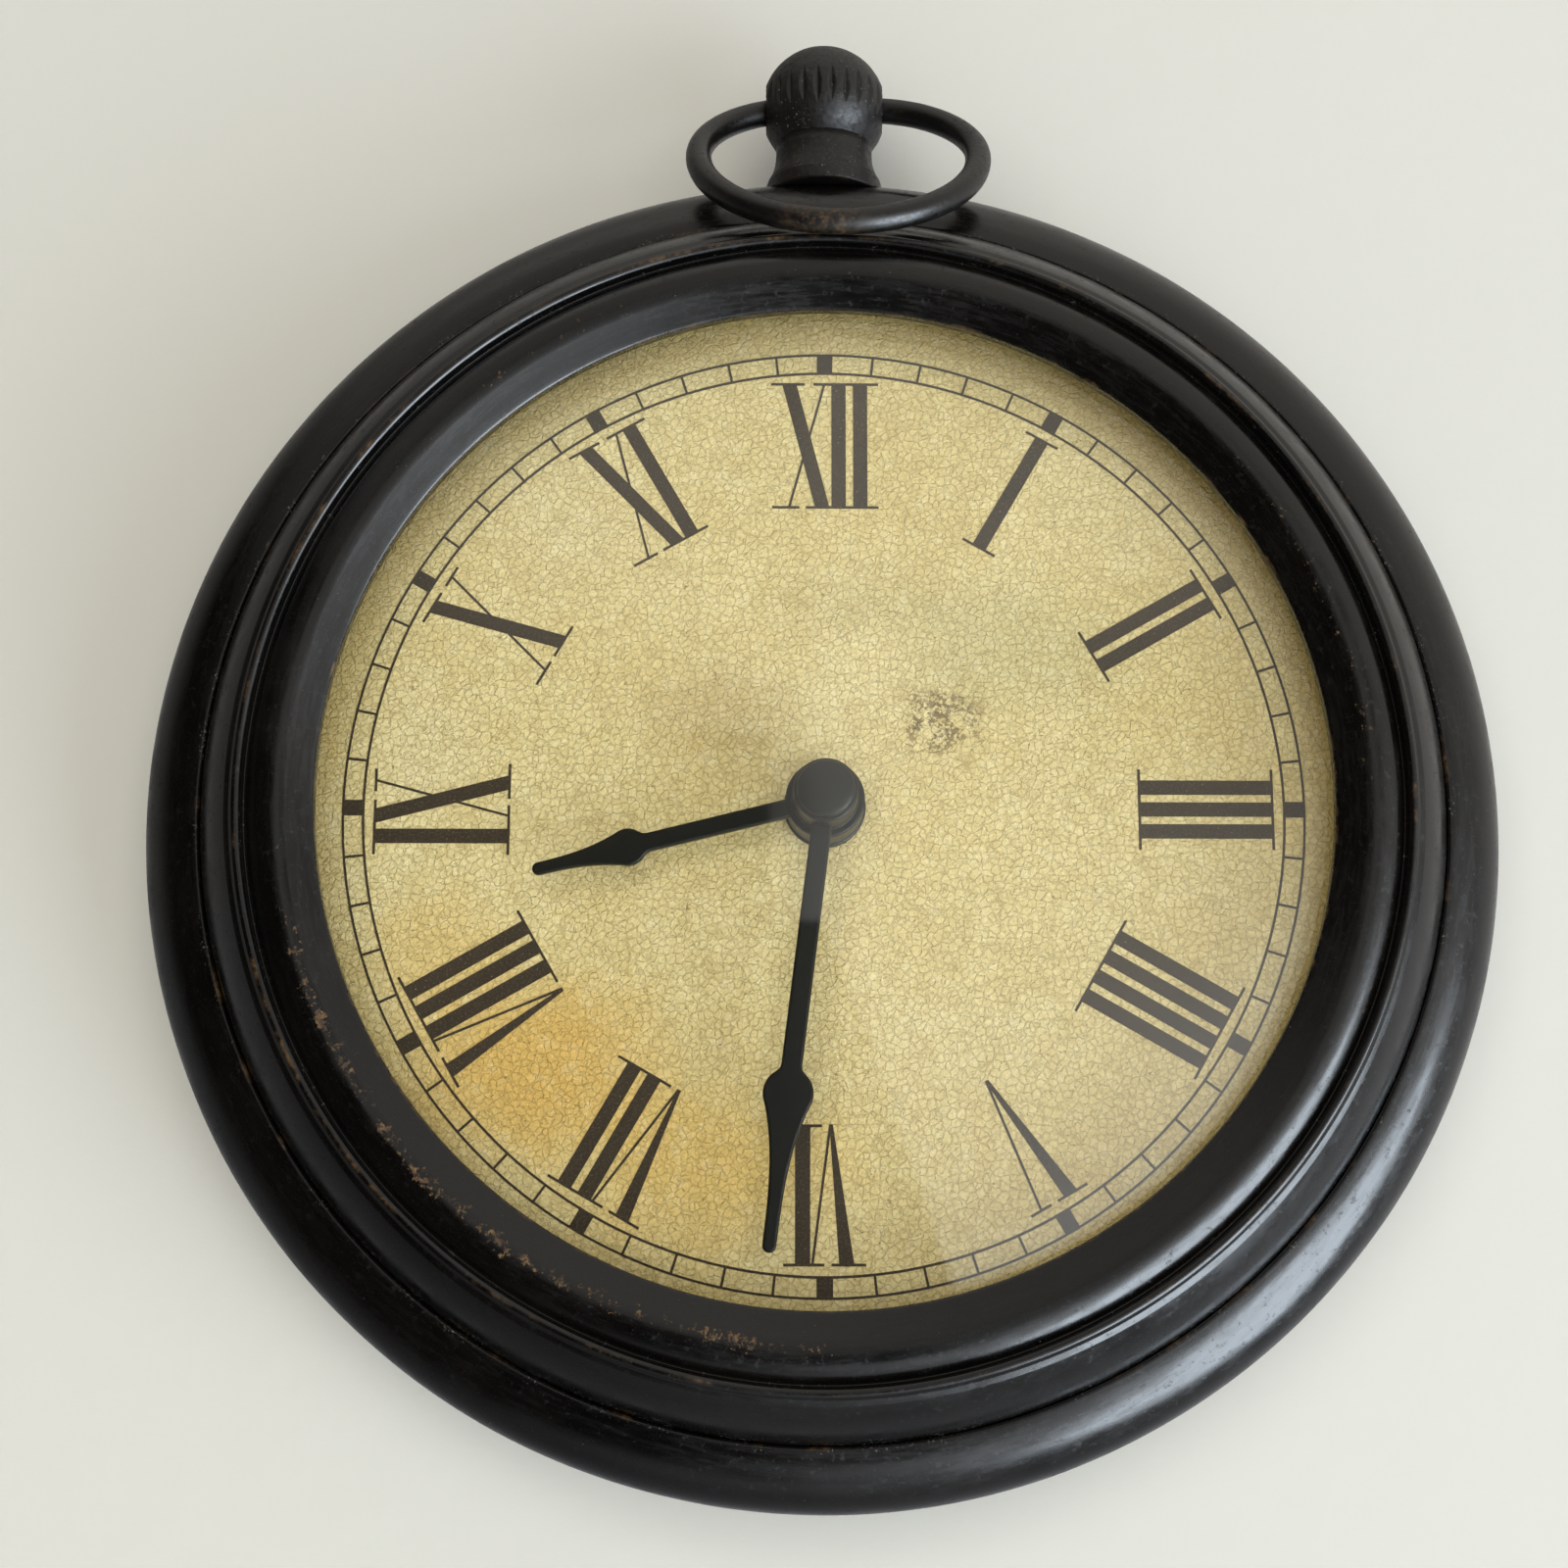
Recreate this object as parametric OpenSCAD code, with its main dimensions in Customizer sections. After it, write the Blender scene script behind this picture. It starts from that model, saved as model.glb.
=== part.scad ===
// Round wall clock in the form of an open-faced pocket watch: a spun steel case with a stepped
// bezel, domed glass, printed paper dial, two spade hands, a quartz movement with its whole
// wheel train, and a crown with a loose bow on top.
//
// Millimetres. The origin is the centre of the case's back on the axis of the hands, in the
// plane of the wall. +Z points to 12 o'clock, -Y points out of the wall to the viewer.
// Everything on the hands' axis is drawn in a dial frame (x right, y up, z out of the wall)
// and turned upright by upright().

/* [Case] */
// Outer diameter of the half-round rim
case_d = 163; // [160:0.5:166]
// Radius of the half-round rim's section
rim_r = 8.4; // [8.2:0.1:8.6]
// Height of the rim's centre line above the wall
rim_z = 15; // [14.8:0.1:15.2]
// Thickness of the case's sheet steel
sheet = 1.2; // [1.1:0.05:1.3]
// Radius of the visible opening in the bezel
opening_r = 58.7; // [58:0.1:59.4]

/* [Dial] */
// Height of the dial's printed face above the wall
dial_z = 20; // [20:0.5:20]
// Outer radius of the printed minute track
track_r = 57.4; // [56.5:0.1:57.6]
// Outer end of the numerals, from the centre
numeral_top = 53.6; // [53:0.1:54]
// Inner end of the numerals, from the centre
numeral_foot = 37.4; // [36:0.1:39]
// Width of a numeral's thick stroke
stem_w = 1.75; // [1.5:0.05:1.9]

/* [Hands] */
// Minute hand's angle at rest, in degrees clockwise from 12
minute_angle = 187; // [0:0.5:360]
// Hour hand's angle at rest, in degrees clockwise from 12
hour_angle = 256; // [0:0.5:360]
// Length of the minute hand from the centre to the tip
minute_len = 52.7; // [50:0.1:54]
// Length of the hour hand from the centre to the tip
hour_len = 35.1; // [33:0.1:36]

/* [Crown and bow] */
// Radius of the crown's ball
crown_r = 8.05; // [7.9:0.05:8.1]
// Height of the crown's cross hole above the origin
bow_pivot_z = 92.6; // [92.4:0.1:92.8]
// Radius of the bow's lower half, to the middle of the wire
bow_r = 17.4; // [17.3:0.05:17.5]
// Radius of the bow's two shoulders, to the middle of the wire
bow_shoulder_r = 13.1; // [13:0.05:13.2]
// Radius of the bow's wire
bow_wire_r = 1.62; // [1.55:0.01:1.65]
// How far the loose bow has slid to one side
bow_shift = 1.7; // [0:0.1:1.8]
// Angle of the bow from hanging straight down to lying on the bezel
bow_lean = 38.6; // [38.6:0.1:39.5]

/* [Movement] */
// Side of the square movement
move_w = 56; // [56:0.5:57]
// Radius of an AA cell
cell_r = 7.1; // [7:0.05:7.1]
// Play between the teeth, on the pitch circle
backlash = 0.06; // [0.05:0.01:0.08]

/* [Hidden] */

$fn = 96;
tiny = 0.01;

// case
rim_c = case_d / 2 - rim_r;
lip_ri = 73.5;
lip_ro = lip_ri + sheet;
seat_z = 17.8;
drum_ro = 76.5;
drum_ri = drum_ro - sheet;
tuck_a = 50;
flange_z = 1.2;
flange_ri = 66;
back_ply = 1;

// bezel: flank from the crease up to the bead, groove, roll, slope down to the opening
bezel_t = 1.1;
crease_z = 22.6;
bead_r = 0.6;
bead_c = [67.8, 31.8];
flank_r = 13;
roll_r = 2.2;
roll_c = [64.6, 31.2];
roll_a = 113;
groove_z = 30.9;
opening_z = 31.1;
opening_lip_z = 29.8;

// glass
glass_r = 63.6;
glass_t = 1.6;
glass_top = 35.6;
dome_r = 295;
gasket_z = 26;
retainer_z = 24.8;
retainer_ri = 62;
retainer_ro = 71.3;

// dial
plate_t = 2;
paper_t = 0.2;
plate_r = 71.8;
paper_r = 69.9;
print_t = 0.04;
dial_hole_r = 4.75;
dial_screw_r = 68;
track_band = 2.4;
track_line = 0.3;
hour_block_w = 1.9;
thin_w = 0.3;
serif_t = 0.32;
serif_ext = 1.35;
stem_pitch = 2.66;
numerals = ["XII", "I", "II", "III", "IIII", "V", "VI", "VII", "VIII", "IX", "X", "XI"];

// hands: heights above the wall
hour_z = 24.8;
minute_z = 27.3;
blade_t = 1.2;
hour_boss_z = 20.9;
hour_boss_top = 26.15;
minute_boss_z = 26.4;
minute_boss_top = 31.2;
cap_top = 32.6;
cap_r = 3.35;

// arbors and tubes
hour_tube_r = 2.55;
minute_shaft_r = 1.55;
running = 0.07;
pivot_play = 0.05;
seconds_arbor_r = 0.5;
arbor_r = 0.35;

// movement: levels above the wall
shell_t = 1;
wall_t = 1.2;
move_back = 2.4;
move_split = 9.8;
move_front = seat_z;
floor_z = move_back + wall_t;
ceil_z = move_front - shell_t;
half_w = move_w / 2;
bay_top = -12.2;
bay_bottom = -half_w + wall_t;
cell_y = -19.5;
cell_z = ceil_z - cell_r;
cell_len = 49.2;
nub_len = 1.3;
cell_x0 = -24.9;

// wheel axes in the dial frame, each as a step from the one it meshes with
third_dir = 30;
third_at = 8.5 * [cos(third_dir), sin(third_dir)];
inter_dir = 190;
inter_at = 8.75 * [cos(inter_dir), sin(inter_dir)];
rotor_dir = 200;
rotor_at = inter_at + 6 * [cos(rotor_dir), sin(rotor_dir)];
work_dir = 90;
work_at = 9 * [cos(work_dir), sin(work_dir)];
knob_dir = 150;
knob_at = work_at + 9 * [cos(knob_dir), sin(knob_dir)];

// modules of the gear pairs, from centre distance and tooth counts
m_third_centre = 2 * 8.5 / (8 + 64);
m_seconds_third = 2 * 8.5 / (8 + 60);
m_inter_seconds = 2 * 8.75 / (10 + 60);
m_rotor_inter = 2 * 6 / (8 + 40);
m_cannon_work = 2 * 9 / (12 + 36);
m_work_hour = 2 * 9 / (10 + 40);

// tooth phases at rest, so that every pair is in mesh
work_phase = mesh_phase(0, 12, work_dir, 36);
hour_phase = mesh_phase(0, 10, work_dir + 180, 40);
knob_phase = mesh_phase(work_phase, 36, knob_dir, 12);
third_phase = mesh_phase(0, 8, third_dir, 60);
centre_phase = mesh_phase(0, 8, third_dir + 180, 64);
inter_phase = mesh_phase(0, 60, inter_dir, 10);
rotor_phase = mesh_phase(0, 40, rotor_dir, 8);

coil_at = [-22.5, 4.5];
coil_z = 10;
coil_len = 16;
board_z = 5;
board_t = 1;

// ---------- shared functions and modules ----------

// Points on an arc about c, from angle a0 to a1
function arc(c, r, a0, a1, n = 12) =
    [for (i = [0:n]) let (a = a0 + (a1 - a0) * i / n) c + r * [cos(a), sin(a)]];

// Centre of the arc of radius r that runs counter-clockwise from p to q
function arc_centre(p, q, r) =
    let (d = q - p, c = norm(d), h = sqrt(r * r - c * c / 4))
    (p + q) / 2 + h * [-d[1], d[0]] / c;

function direction(c, p) = atan2(p[1] - c[1], p[0] - c[0]);

// Phase of gear b, in mesh in direction dir with gear a whose phase is known
function mesh_phase(phase_a, teeth_a, dir, teeth_b) =
    dir + 180 - (180 - (dir - phase_a) * teeth_a) / teeth_b;

// Involute of an angle, in degrees
function inv(a) = (tan(a) - a * PI / 180) * 180 / PI;

// Half the angle that a tooth fills at radius r
function half_tooth(teeth, m, shift, r) =
    let (rp = m * teeth / 2, rb = rp * cos(20))
    (m * (PI / 2 + 2 * shift * tan(20)) - backlash / 2) / 2 / rp * 180 / PI
    + inv(20) - inv(acos(min(1, rb / max(r, rb))));

// Profile shift that keeps a small pinion from being undercut; its wheel takes the negative
function pinion_shift(teeth) = (17 - teeth) / 17;

// One tooth's outline: up one flank and down the other
function tooth(teeth, m, shift, a) =
    let (root = m * (teeth / 2 + shift - 1.25), tip = m * (teeth / 2 + shift + 0.9))
    let (radii = [for (i = [0:3]) root + (tip - root) * i / 3])
    concat(
        [for (i = [0:3]) let (b = a - half_tooth(teeth, m, shift, radii[i]))
            radii[i] * [cos(b), sin(b)]],
        [for (i = [3:-1:0]) let (b = a + half_tooth(teeth, m, shift, radii[i]))
            radii[i] * [cos(b), sin(b)]]);

module gear(teeth, m, shift, phase, z, t, bore = 0) {
    outline = [for (i = [0:teeth - 1], p = tooth(teeth, m, shift, phase + i * 360 / teeth)) p];
    translate([0, 0, z])
        linear_extrude(t)
            difference() {
                polygon(outline);
                if (bore > 0)
                    circle(bore);
            }
}

// Turns the dial frame upright: its z becomes -Y and its y becomes +Z
module upright() rotate([90, 0, 0]) children();

module at(p) translate([p[0], p[1], 0]) children();

module rod(r, z0, z1) translate([0, 0, z0]) cylinder(r = r, h = z1 - z0);

module ring(ri, ro, z0, z1) {
    translate([0, 0, z0])
        linear_extrude(z1 - z0)
            difference() {
                circle(ro);
                circle(ri);
            }
}

module on_circle(count, r, start = 0)
    for (i = [0:count - 1])
        rotate(start + i * 360 / count)
            translate([r, 0, 0])
                children();

module block(lo, hi) translate(lo) cube(hi - lo);

// Rectangle with round corners, from circles and squares
module round_rect(w, h, r) {
    square([w - 2 * r, h], center = true);
    square([w, h - 2 * r], center = true);
    for (x = [-1, 1], y = [-1, 1])
        translate([x * (w / 2 - r), y * (h / 2 - r)])
            circle(r);
}

// ---------- case ----------

module case_profile() {
    tuck_o = [rim_c + rim_r * cos(tuck_a), rim_z - rim_r * sin(tuck_a)];
    tuck_i = [rim_c + (rim_r - sheet) * cos(tuck_a), rim_z - (rim_r - sheet) * sin(tuck_a)];
    // half-round rim
    intersection() {
        translate([rim_c, rim_z])
            difference() {
                circle(rim_r);
                circle(rim_r - sheet);
            }
        polygon([[lip_ri, rim_z], [lip_ri, rim_z + 20], [rim_c + 20, rim_z + 20],
            [rim_c + 20, rim_z - 20 * tan(tuck_a)], [rim_c, rim_z], [rim_c, rim_z]]);
    }
    // turned-in lip that holds the bezel, and the seat of the dial plate
    intersection() {
        translate([rim_c, rim_z])
            circle(rim_r);
        translate([lip_ri, seat_z - sheet])
            square([sheet, rim_r]);
    }
    translate([64.5, seat_z - sheet])
        square([lip_ro - 64.5, sheet]);
    // tuck under the rim, drum and back flange
    polygon([tuck_o, tuck_i, [drum_ri, tuck_i[1] - 2], [drum_ri, 0], [drum_ro, 0],
        [drum_ro, tuck_o[1] - 1.6]]);
    translate([flange_ri, flange_z])
        square([drum_ro - sheet / 2 - flange_ri, sheet]);
}

module case_shell() {
    color([0.09, 0.08, 0.08])
        difference() {
            upright()
                difference() {
                    rotate_extrude($fn = 240) case_profile();
                    on_circle(4, dial_screw_r, 45) rod(1.5, 10, 20);
                    on_circle(6, 70.5, 30) rod(1, 0.5, 3);
                }
            translate([0, -rim_z, 76])
                cylinder(r = 2.15, h = 8);
        }
}

module bezel() {
    foot = [lip_ri, crease_z];
    bead_foot = bead_c + [bead_r, 0];
    flank_c = arc_centre(foot, bead_foot, flank_r);
    a0 = direction(flank_c, foot);
    a1 = direction(flank_c, bead_foot);
    edge = [opening_r, opening_z];
    outer = concat(
        [[lip_ri, seat_z]],
        arc(flank_c, flank_r, a0, a1, 20),
        arc(bead_c, bead_r, 0, 180, 12),
        [[bead_c[0] - bead_r, groove_z + 0.1], [roll_c[0] + roll_r + 0.05, groove_z]],
        arc(roll_c, roll_r, -5, roll_a, 20),
        arc(edge + [0.35, -0.3], 0.4, 113, 180, 6),
        [[opening_r, opening_lip_z]]);
    inner = concat(
        arc(flank_c, flank_r - bezel_t, a0, a1 - 4, 20),
        [[roll_c[0] + roll_r + 0.1, groove_z - bezel_t]],
        arc(roll_c, roll_r - bezel_t, -10, roll_a, 10),
        [[opening_r + bezel_t, edge[1] - 0.75], [opening_r + bezel_t, opening_lip_z]]);
    color([0.09, 0.08, 0.08])
        upright()
            rotate_extrude($fn = 240)
                polygon(concat(outer, [for (i = [len(inner) - 1:-1:0]) inner[i]],
                    [[lip_ri - bezel_t, seat_z]]));
}

// Section of the domed glass out to radius r
module glass_profile(r) {
    intersection() {
        translate([0, glass_top - dome_r])
            difference() {
                circle(dome_r, $fn = 720);
                circle(dome_r - glass_t, $fn = 720);
            }
        translate([0, 20])
            square([r, 20]);
    }
}

module glass_lens() {
    color([0.85, 0.9, 0.9, 0.25])
        upright()
            rotate_extrude($fn = 240) glass_profile(glass_r);
}

module glass_gasket() {
    color([0.12, 0.12, 0.12])
        upright()
            rotate_extrude($fn = 240)
                difference() {
                    translate([61.9, gasket_z])
                        square([2.8, 4]);
                    glass_profile(glass_r);
                }
}

module glass_retainer() {
    color([0.35, 0.33, 0.3])
        upright()
            rotate_extrude($fn = 240) {
                translate([retainer_ri, retainer_z])
                    square([retainer_ro - retainer_ri, gasket_z - retainer_z]);
                translate([retainer_ro - sheet, dial_z - paper_t])
                    square([sheet, gasket_z - dial_z + paper_t]);
            }
}

module back_cover() {
    color([0.16, 0.16, 0.16])
        upright()
            difference() {
                translate([0, 0, flange_z - back_ply])
                    linear_extrude(back_ply)
                        difference() {
                            circle(drum_ri - 0.2, $fn = 240);
                            round_rect(move_w + 4, move_w + 4, 4);
                            keyhole();
                        }
                on_circle(6, 70.5, 30)
                    countersink();
                for (x = [-9.5, 9.5], y = [42, 59])
                    at([x, y]) rod(1.2, -1, 3);
            }
}

// Head of a countersunk screw or rivet, from the cover's face inwards
module countersink()
    translate([0, 0, flange_z - back_ply])
        cylinder(r1 = 2.2, r2 = 1.2, h = back_ply);

module back_cover_screws() {
    color([0.55, 0.55, 0.56])
        upright()
            on_circle(6, 70.5, 30)
                difference() {
                    union() {
                        countersink();
                        rod(1, flange_z - tiny, 5);
                    }
                    translate([-2, -0.25, 0])
                        cube([4, 0.5, 0.65]);
                }
}

// Entry hole and slot for the head and neck of the wall screw
module keyhole() {
    translate([0, 46])
        circle(4.6);
    translate([-2.3, 46])
        square([4.6, 9]);
    translate([0, 55])
        circle(2.3);
}

module hanger_plate() {
    color([0.6, 0.58, 0.5])
        upright()
            translate([0, 0, flange_z])
                linear_extrude(sheet)
                    difference() {
                        translate([0, 50.5])
                            round_rect(26, 23, 2);
                        keyhole();
                        for (x = [-9.5, 9.5], y = [42, 59])
                            translate([x, y]) circle(1.2);
                    }
}

module hanger_rivets() {
    color([0.7, 0.7, 0.68])
        upright()
            for (x = [-9.5, 9.5], y = [42, 59])
                at([x, y]) {
                    rod(1.2, flange_z - back_ply, flange_z + sheet);
                    rod(2, flange_z + sheet, flange_z + sheet + 0.7);
                }
}

// ---------- dial ----------

module dial_plate() {
    color([0.2, 0.2, 0.2])
        upright()
            difference() {
                ring(dial_hole_r, plate_r, seat_z, dial_z - paper_t, $fn = 240);
                on_circle(4, dial_screw_r, 45) rod(1.2, seat_z - 1, seat_z + 1.5);
                movement_ears() rod(0.9, seat_z - 1, seat_z + 1.5);
            }
}

module dial_paper() {
    color([0.82, 0.74, 0.5])
        upright()
            ring(dial_hole_r, paper_r, dial_z - paper_t, dial_z, $fn = 240);
}

module dial_screws() {
    color([0.6, 0.6, 0.6])
        upright()
            on_circle(4, dial_screw_r, 45)
                difference() {
                    union() {
                        rod(1.2, seat_z - sheet, seat_z + 1.4);
                        rod(2.6, seat_z - sheet - 1.5, seat_z - sheet);
                    }
                    for (a = [0, 90])
                        rotate(a)
                            translate([-1.5, -0.25, seat_z - sheet - 2])
                                cube([3, 0.5, 1.2]);
                }
}

// Step from a glyph's thick stroke to the next glyph's
function advance(glyph, next) =
    glyph == "V" ? 5.1 : glyph == "X" ? 6.1 : next == "X" ? 2.4 : stem_pitch;

function glyph_x(s, i) = i == 0 ? 0 : glyph_x(s, i - 1) + advance(s[i - 1], s[i]);

// How far a glyph's strokes reach right of its first thick stroke
function reach(glyph) = glyph == "V" ? 4 : glyph == "X" ? 4.4 : 0;

// A slanted stroke of width w from x0 at the foot to x1 at the top
module stroke(x0, x1, w, foot = numeral_foot)
    polygon([[x0 - w / 2, foot], [x0 + w / 2, foot],
        [x1 + w / 2, numeral_top], [x1 - w / 2, numeral_top]]);

module serif(y, x0, x1) translate([x0, y]) square([x1 - x0, serif_t]);

module top_serif(x0, x1) serif(numeral_top - serif_t, x0, x1);

module foot_serif(x0, x1) serif(numeral_foot, x0, x1);

module glyph(c) {
    out = stem_w / 2 + serif_ext;
    if (c == "I") {
        stroke(0, 0, stem_w);
        top_serif(-out, out);
        foot_serif(-out, out);
    }
    if (c == "V") {
        polygon([[1.6, numeral_foot], [2, numeral_foot], [stem_w / 2, numeral_top],
            [-stem_w / 2, numeral_top]]);
        stroke(1.9, 4, thin_w);
        top_serif(-out, stem_w / 2 + 0.9);
        top_serif(2.6, 4 + serif_ext);
    }
    if (c == "X") {
        stroke(4.15, 0, stem_w);
        stroke(0, 4.4, thin_w);
        top_serif(-out, stem_w / 2 + 1.1);
        top_serif(3, 4.4 + serif_ext);
        foot_serif(-2, 1.3);
        foot_serif(2.1, 4.15 + out);
    }
}

module numeral(s) {
    last = len(s) - 1;
    width = glyph_x(s, last) + reach(s[last]);
    for (i = [0:last])
        translate([glyph_x(s, i) - width / 2, 0])
            glyph(s[i]);
}

module track() {
    for (r = [track_r, track_r - track_band])
        difference() {
            circle(r, $fn = 360);
            circle(r - track_line, $fn = 360);
        }
    for (i = [0:59])
        rotate(i * 6)
            translate([0, track_r - track_band - tiny]) {
                if (i % 5 == 0)
                    translate([-hour_block_w / 2, -track_line / 2])
                        square([hour_block_w, track_band]);
                else
                    translate([-track_line / 2, -track_line / 2])
                        square([track_line, track_band]);
            }
}

module dial_print() {
    color([0.13, 0.11, 0.09])
        upright()
            translate([0, 0, dial_z])
                linear_extrude(print_t) {
                    track();
                    for (h = [0:11])
                        rotate(-30 * h)
                            numeral(numerals[h]);
                }
}

// ---------- crown and bow ----------

// Everything here is turned about the vertical axis through the middle of the rim
module pendant_axis() translate([0, -rim_z, 0]) children();

// Flared neck whose foot is hollowed out to sit over the round rim
module pendant_neck() {
    foot_r = 7.35;
    foot_z = 80.1;
    lip_z = 82;
    waist_r = 6.15;
    cove_r = 6.94;
    cove_z = 86;
    cove_a = 33;
    top_z = bow_pivot_z - 5.4;
    profile = concat(
        [[2.15, foot_z]],
        arc([foot_r - 0.25, foot_z + 0.25], 0.25, -90, 0, 4),
        [[foot_r, lip_z]],
        arc([waist_r + cove_r, cove_z], cove_r, 180 + cove_a, 180, 16),
        [[waist_r, top_z], [2.15, top_z]]);
    color([0.08, 0.07, 0.07])
        difference() {
            pendant_axis()
                rotate_extrude()
                    polygon(profile);
            upright()
                rotate_extrude($fn = 240)
                    translate([rim_c, rim_z])
                        circle(rim_r);
        }
}

// Ball with a flattened dome, a knurled band and the cross hole for the bow
module crown() {
    foot_a = -42;
    top_a = 55;
    dome_top = crown_r - 0.7;
    grooves = 27;
    // tip of the knurling cutter, and half its length along the crown's axis
    groove_r = 7.72;
    groove_h = 2.5;
    profile = concat(
        [[0, crown_r * sin(foot_a)]],
        arc([0, 0], crown_r, foot_a, top_a, 24),
        [[2.4, dome_top - 0.15], [1.2, dome_top - 0.03], [0, dome_top]]);
    color([0.07, 0.06, 0.06])
        translate([0, -rim_z, bow_pivot_z])
            difference() {
                rotate_extrude() polygon(profile);
                // knurl: straight V grooves that run out to a point above and below
                for (i = [0:grooves - 1])
                    rotate(i * 360 / grooves)
                        translate([groove_r + 0.7, 0, -groove_h])
                            scale([1, 1.5, 1])
                                cylinder(r = 0.7, h = 2 * groove_h, $fn = 4);
                // cross hole, flared at both mouths so that the bent wire can swing
                rotate([0, 90, 0])
                    rod(bow_wire_r + 0.3, -10, 10);
                for (s = [-1, 1])
                    rotate([0, 90 * s, 0])
                        translate([0, 0, 4.4])
                            cylinder(r1 = bow_wire_r + 0.3, r2 = bow_wire_r + 1.9, h = 4.6);
                // blind hole for the stud
                rod(2, -crown_r, -3.2);
            }
}

// The bow in its own plane: the part in the crown along x, the ring towards -y
module bow_wire() {
    run = bow_r - bow_shoulder_r;
    rotate([0, 90, 0])
        cylinder(r = bow_wire_r, h = 2 * run, center = true);
    translate([0, -bow_shoulder_r, 0]) {
        rotate([0, 0, 180])
            rotate_extrude(angle = 180)
                translate([bow_r, 0])
                    circle(bow_wire_r);
        translate([run, 0, 0])
            rotate_extrude(angle = 90)
                translate([bow_shoulder_r, 0])
                    circle(bow_wire_r);
        translate([-run, 0, 0])
            rotate([0, 0, 90])
                rotate_extrude(angle = 90)
                    translate([bow_shoulder_r, 0])
                        circle(bow_wire_r);
    }
}

module bow() {
    color([0.1, 0.08, 0.07])
        translate([bow_shift, -rim_z, bow_pivot_z])
            rotate([90 - bow_lean, 0, 0])
                bow_wire();
}

module pendant_stud() {
    color([0.6, 0.6, 0.6])
        pendant_axis()
            rod(2, 75.2, bow_pivot_z - 3.3);
}

// Washer whose domed face fits the inside of the rim
module pendant_washer() {
    color([0.5, 0.5, 0.5])
        intersection() {
            pendant_axis()
                ring(2.05, 4.4, 78, 81);
            upright()
                rotate_extrude($fn = 240)
                    translate([rim_c, rim_z])
                        circle(rim_r - sheet);
        }
}

module pendant_nut() {
    color([0.65, 0.62, 0.5])
        pendant_axis()
            difference() {
                rotate(30)
                    translate([0, 0, 75.8])
                        cylinder(r = 4, h = 2.2, $fn = 6);
                rod(2, 70, 80);
            }
}

// ---------- hands ----------

// Outline of a spade hand along +y: bar, round bulb, and a point that tapers by the power n
module spade(bar_w, bulb_r, bulb_y, tip_r, len, n) {
    tip_y = len - tip_r;
    start = bulb_y + bulb_r * 0.42;
    w0 = bulb_r * 0.9;
    steps = 14;
    translate([-bar_w / 2, 0])
        square([bar_w, bulb_y]);
    translate([0, bulb_y])
        circle(bulb_r);
    translate([0, tip_y])
        circle(tip_r);
    polygon(concat(
        [for (i = [0:steps]) let (t = i / steps)
            [tip_r + (w0 - tip_r) * pow(1 - t, n), start + (tip_y - start) * t]],
        [for (i = [steps:-1:0]) let (t = i / steps)
            [-tip_r - (w0 - tip_r) * pow(1 - t, n), start + (tip_y - start) * t]]));
}

module hour_hand() {
    color([0.1, 0.1, 0.09])
        upright()
            difference() {
                union() {
                    rod(4.7, hour_boss_z, hour_boss_top);
                    rotate(-hour_angle)
                        translate([0, 0, hour_z])
                            linear_extrude(blade_t)
                                spade(2.2, 2.2, 23.7, 0.75, hour_len, 2.6);
                }
                rod(hour_tube_r, 0, 40);
            }
}

module minute_hand() {
    color([0.1, 0.1, 0.09])
        upright()
            difference() {
                union() {
                    rod(3.75, minute_boss_z, minute_boss_top);
                    rotate(-minute_angle)
                        translate([0, 0, minute_z])
                            linear_extrude(blade_t)
                                spade(2.4, 2.9, 34.8, 0.8, minute_len, 3);
                }
                rod(minute_shaft_r, 0, 40);
            }
}

module hand_cap() {
    dome = 14;
    color([0.1, 0.1, 0.09])
        upright()
            rotate_extrude()
                intersection() {
                    translate([0, cap_top - dome])
                        circle(dome, $fn = 240);
                    translate([0, minute_boss_top])
                        square([cap_r, 5]);
                }
}

// ---------- movement: case ----------

// Children at the four ears that screw the movement to the dial plate
module movement_ears()
    for (x = [-1, 1], y = [-1, 1])
        at([x * (half_w + 2.6), y * 20])
            children();

module movement_front_shell() {
    color([0.14, 0.14, 0.15])
        upright()
            difference() {
                union() {
                    difference() {
                        translate([0, 0, move_split])
                            linear_extrude(move_front - move_split)
                                round_rect(move_w, move_w, 3);
                        // wheel chamber and battery bay
                        block([-half_w + wall_t, bay_top + wall_t, 0],
                            [half_w - wall_t, half_w - wall_t, ceil_z]);
                        block([-half_w + wall_t, bay_bottom, 0],
                            [half_w - wall_t, bay_top, ceil_z]);
                    }
                    movement_ears() rod(3.2, move_front - 2, move_front);
                    for (s = [-1, 1], y = [-20, 20])
                        translate([s * (half_w + 1.2) - 1.5, y - 3.2, move_front - 2])
                            cube([3, 6.4, 2]);
                    // post that the minute-work wheel turns on, and post behind the stator
                    at(work_at) rod(0.6, 14.2, ceil_z + tiny);
                    at([-14.3, 16]) rod(1.2, 9.6, ceil_z + tiny);
                }
                movement_ears() rod(1.3, 0, 20);
                rod(4, 0, 20);
                // upper pivots of the train
                for (p = [third_at, inter_at, rotor_at])
                    at(p) rod(arbor_r + pivot_play, ceil_z - 1, ceil_z + 0.6);
                at(knob_at) rod(0.5 + pivot_play, ceil_z - 1, ceil_z + 0.6);
            }
}

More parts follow.
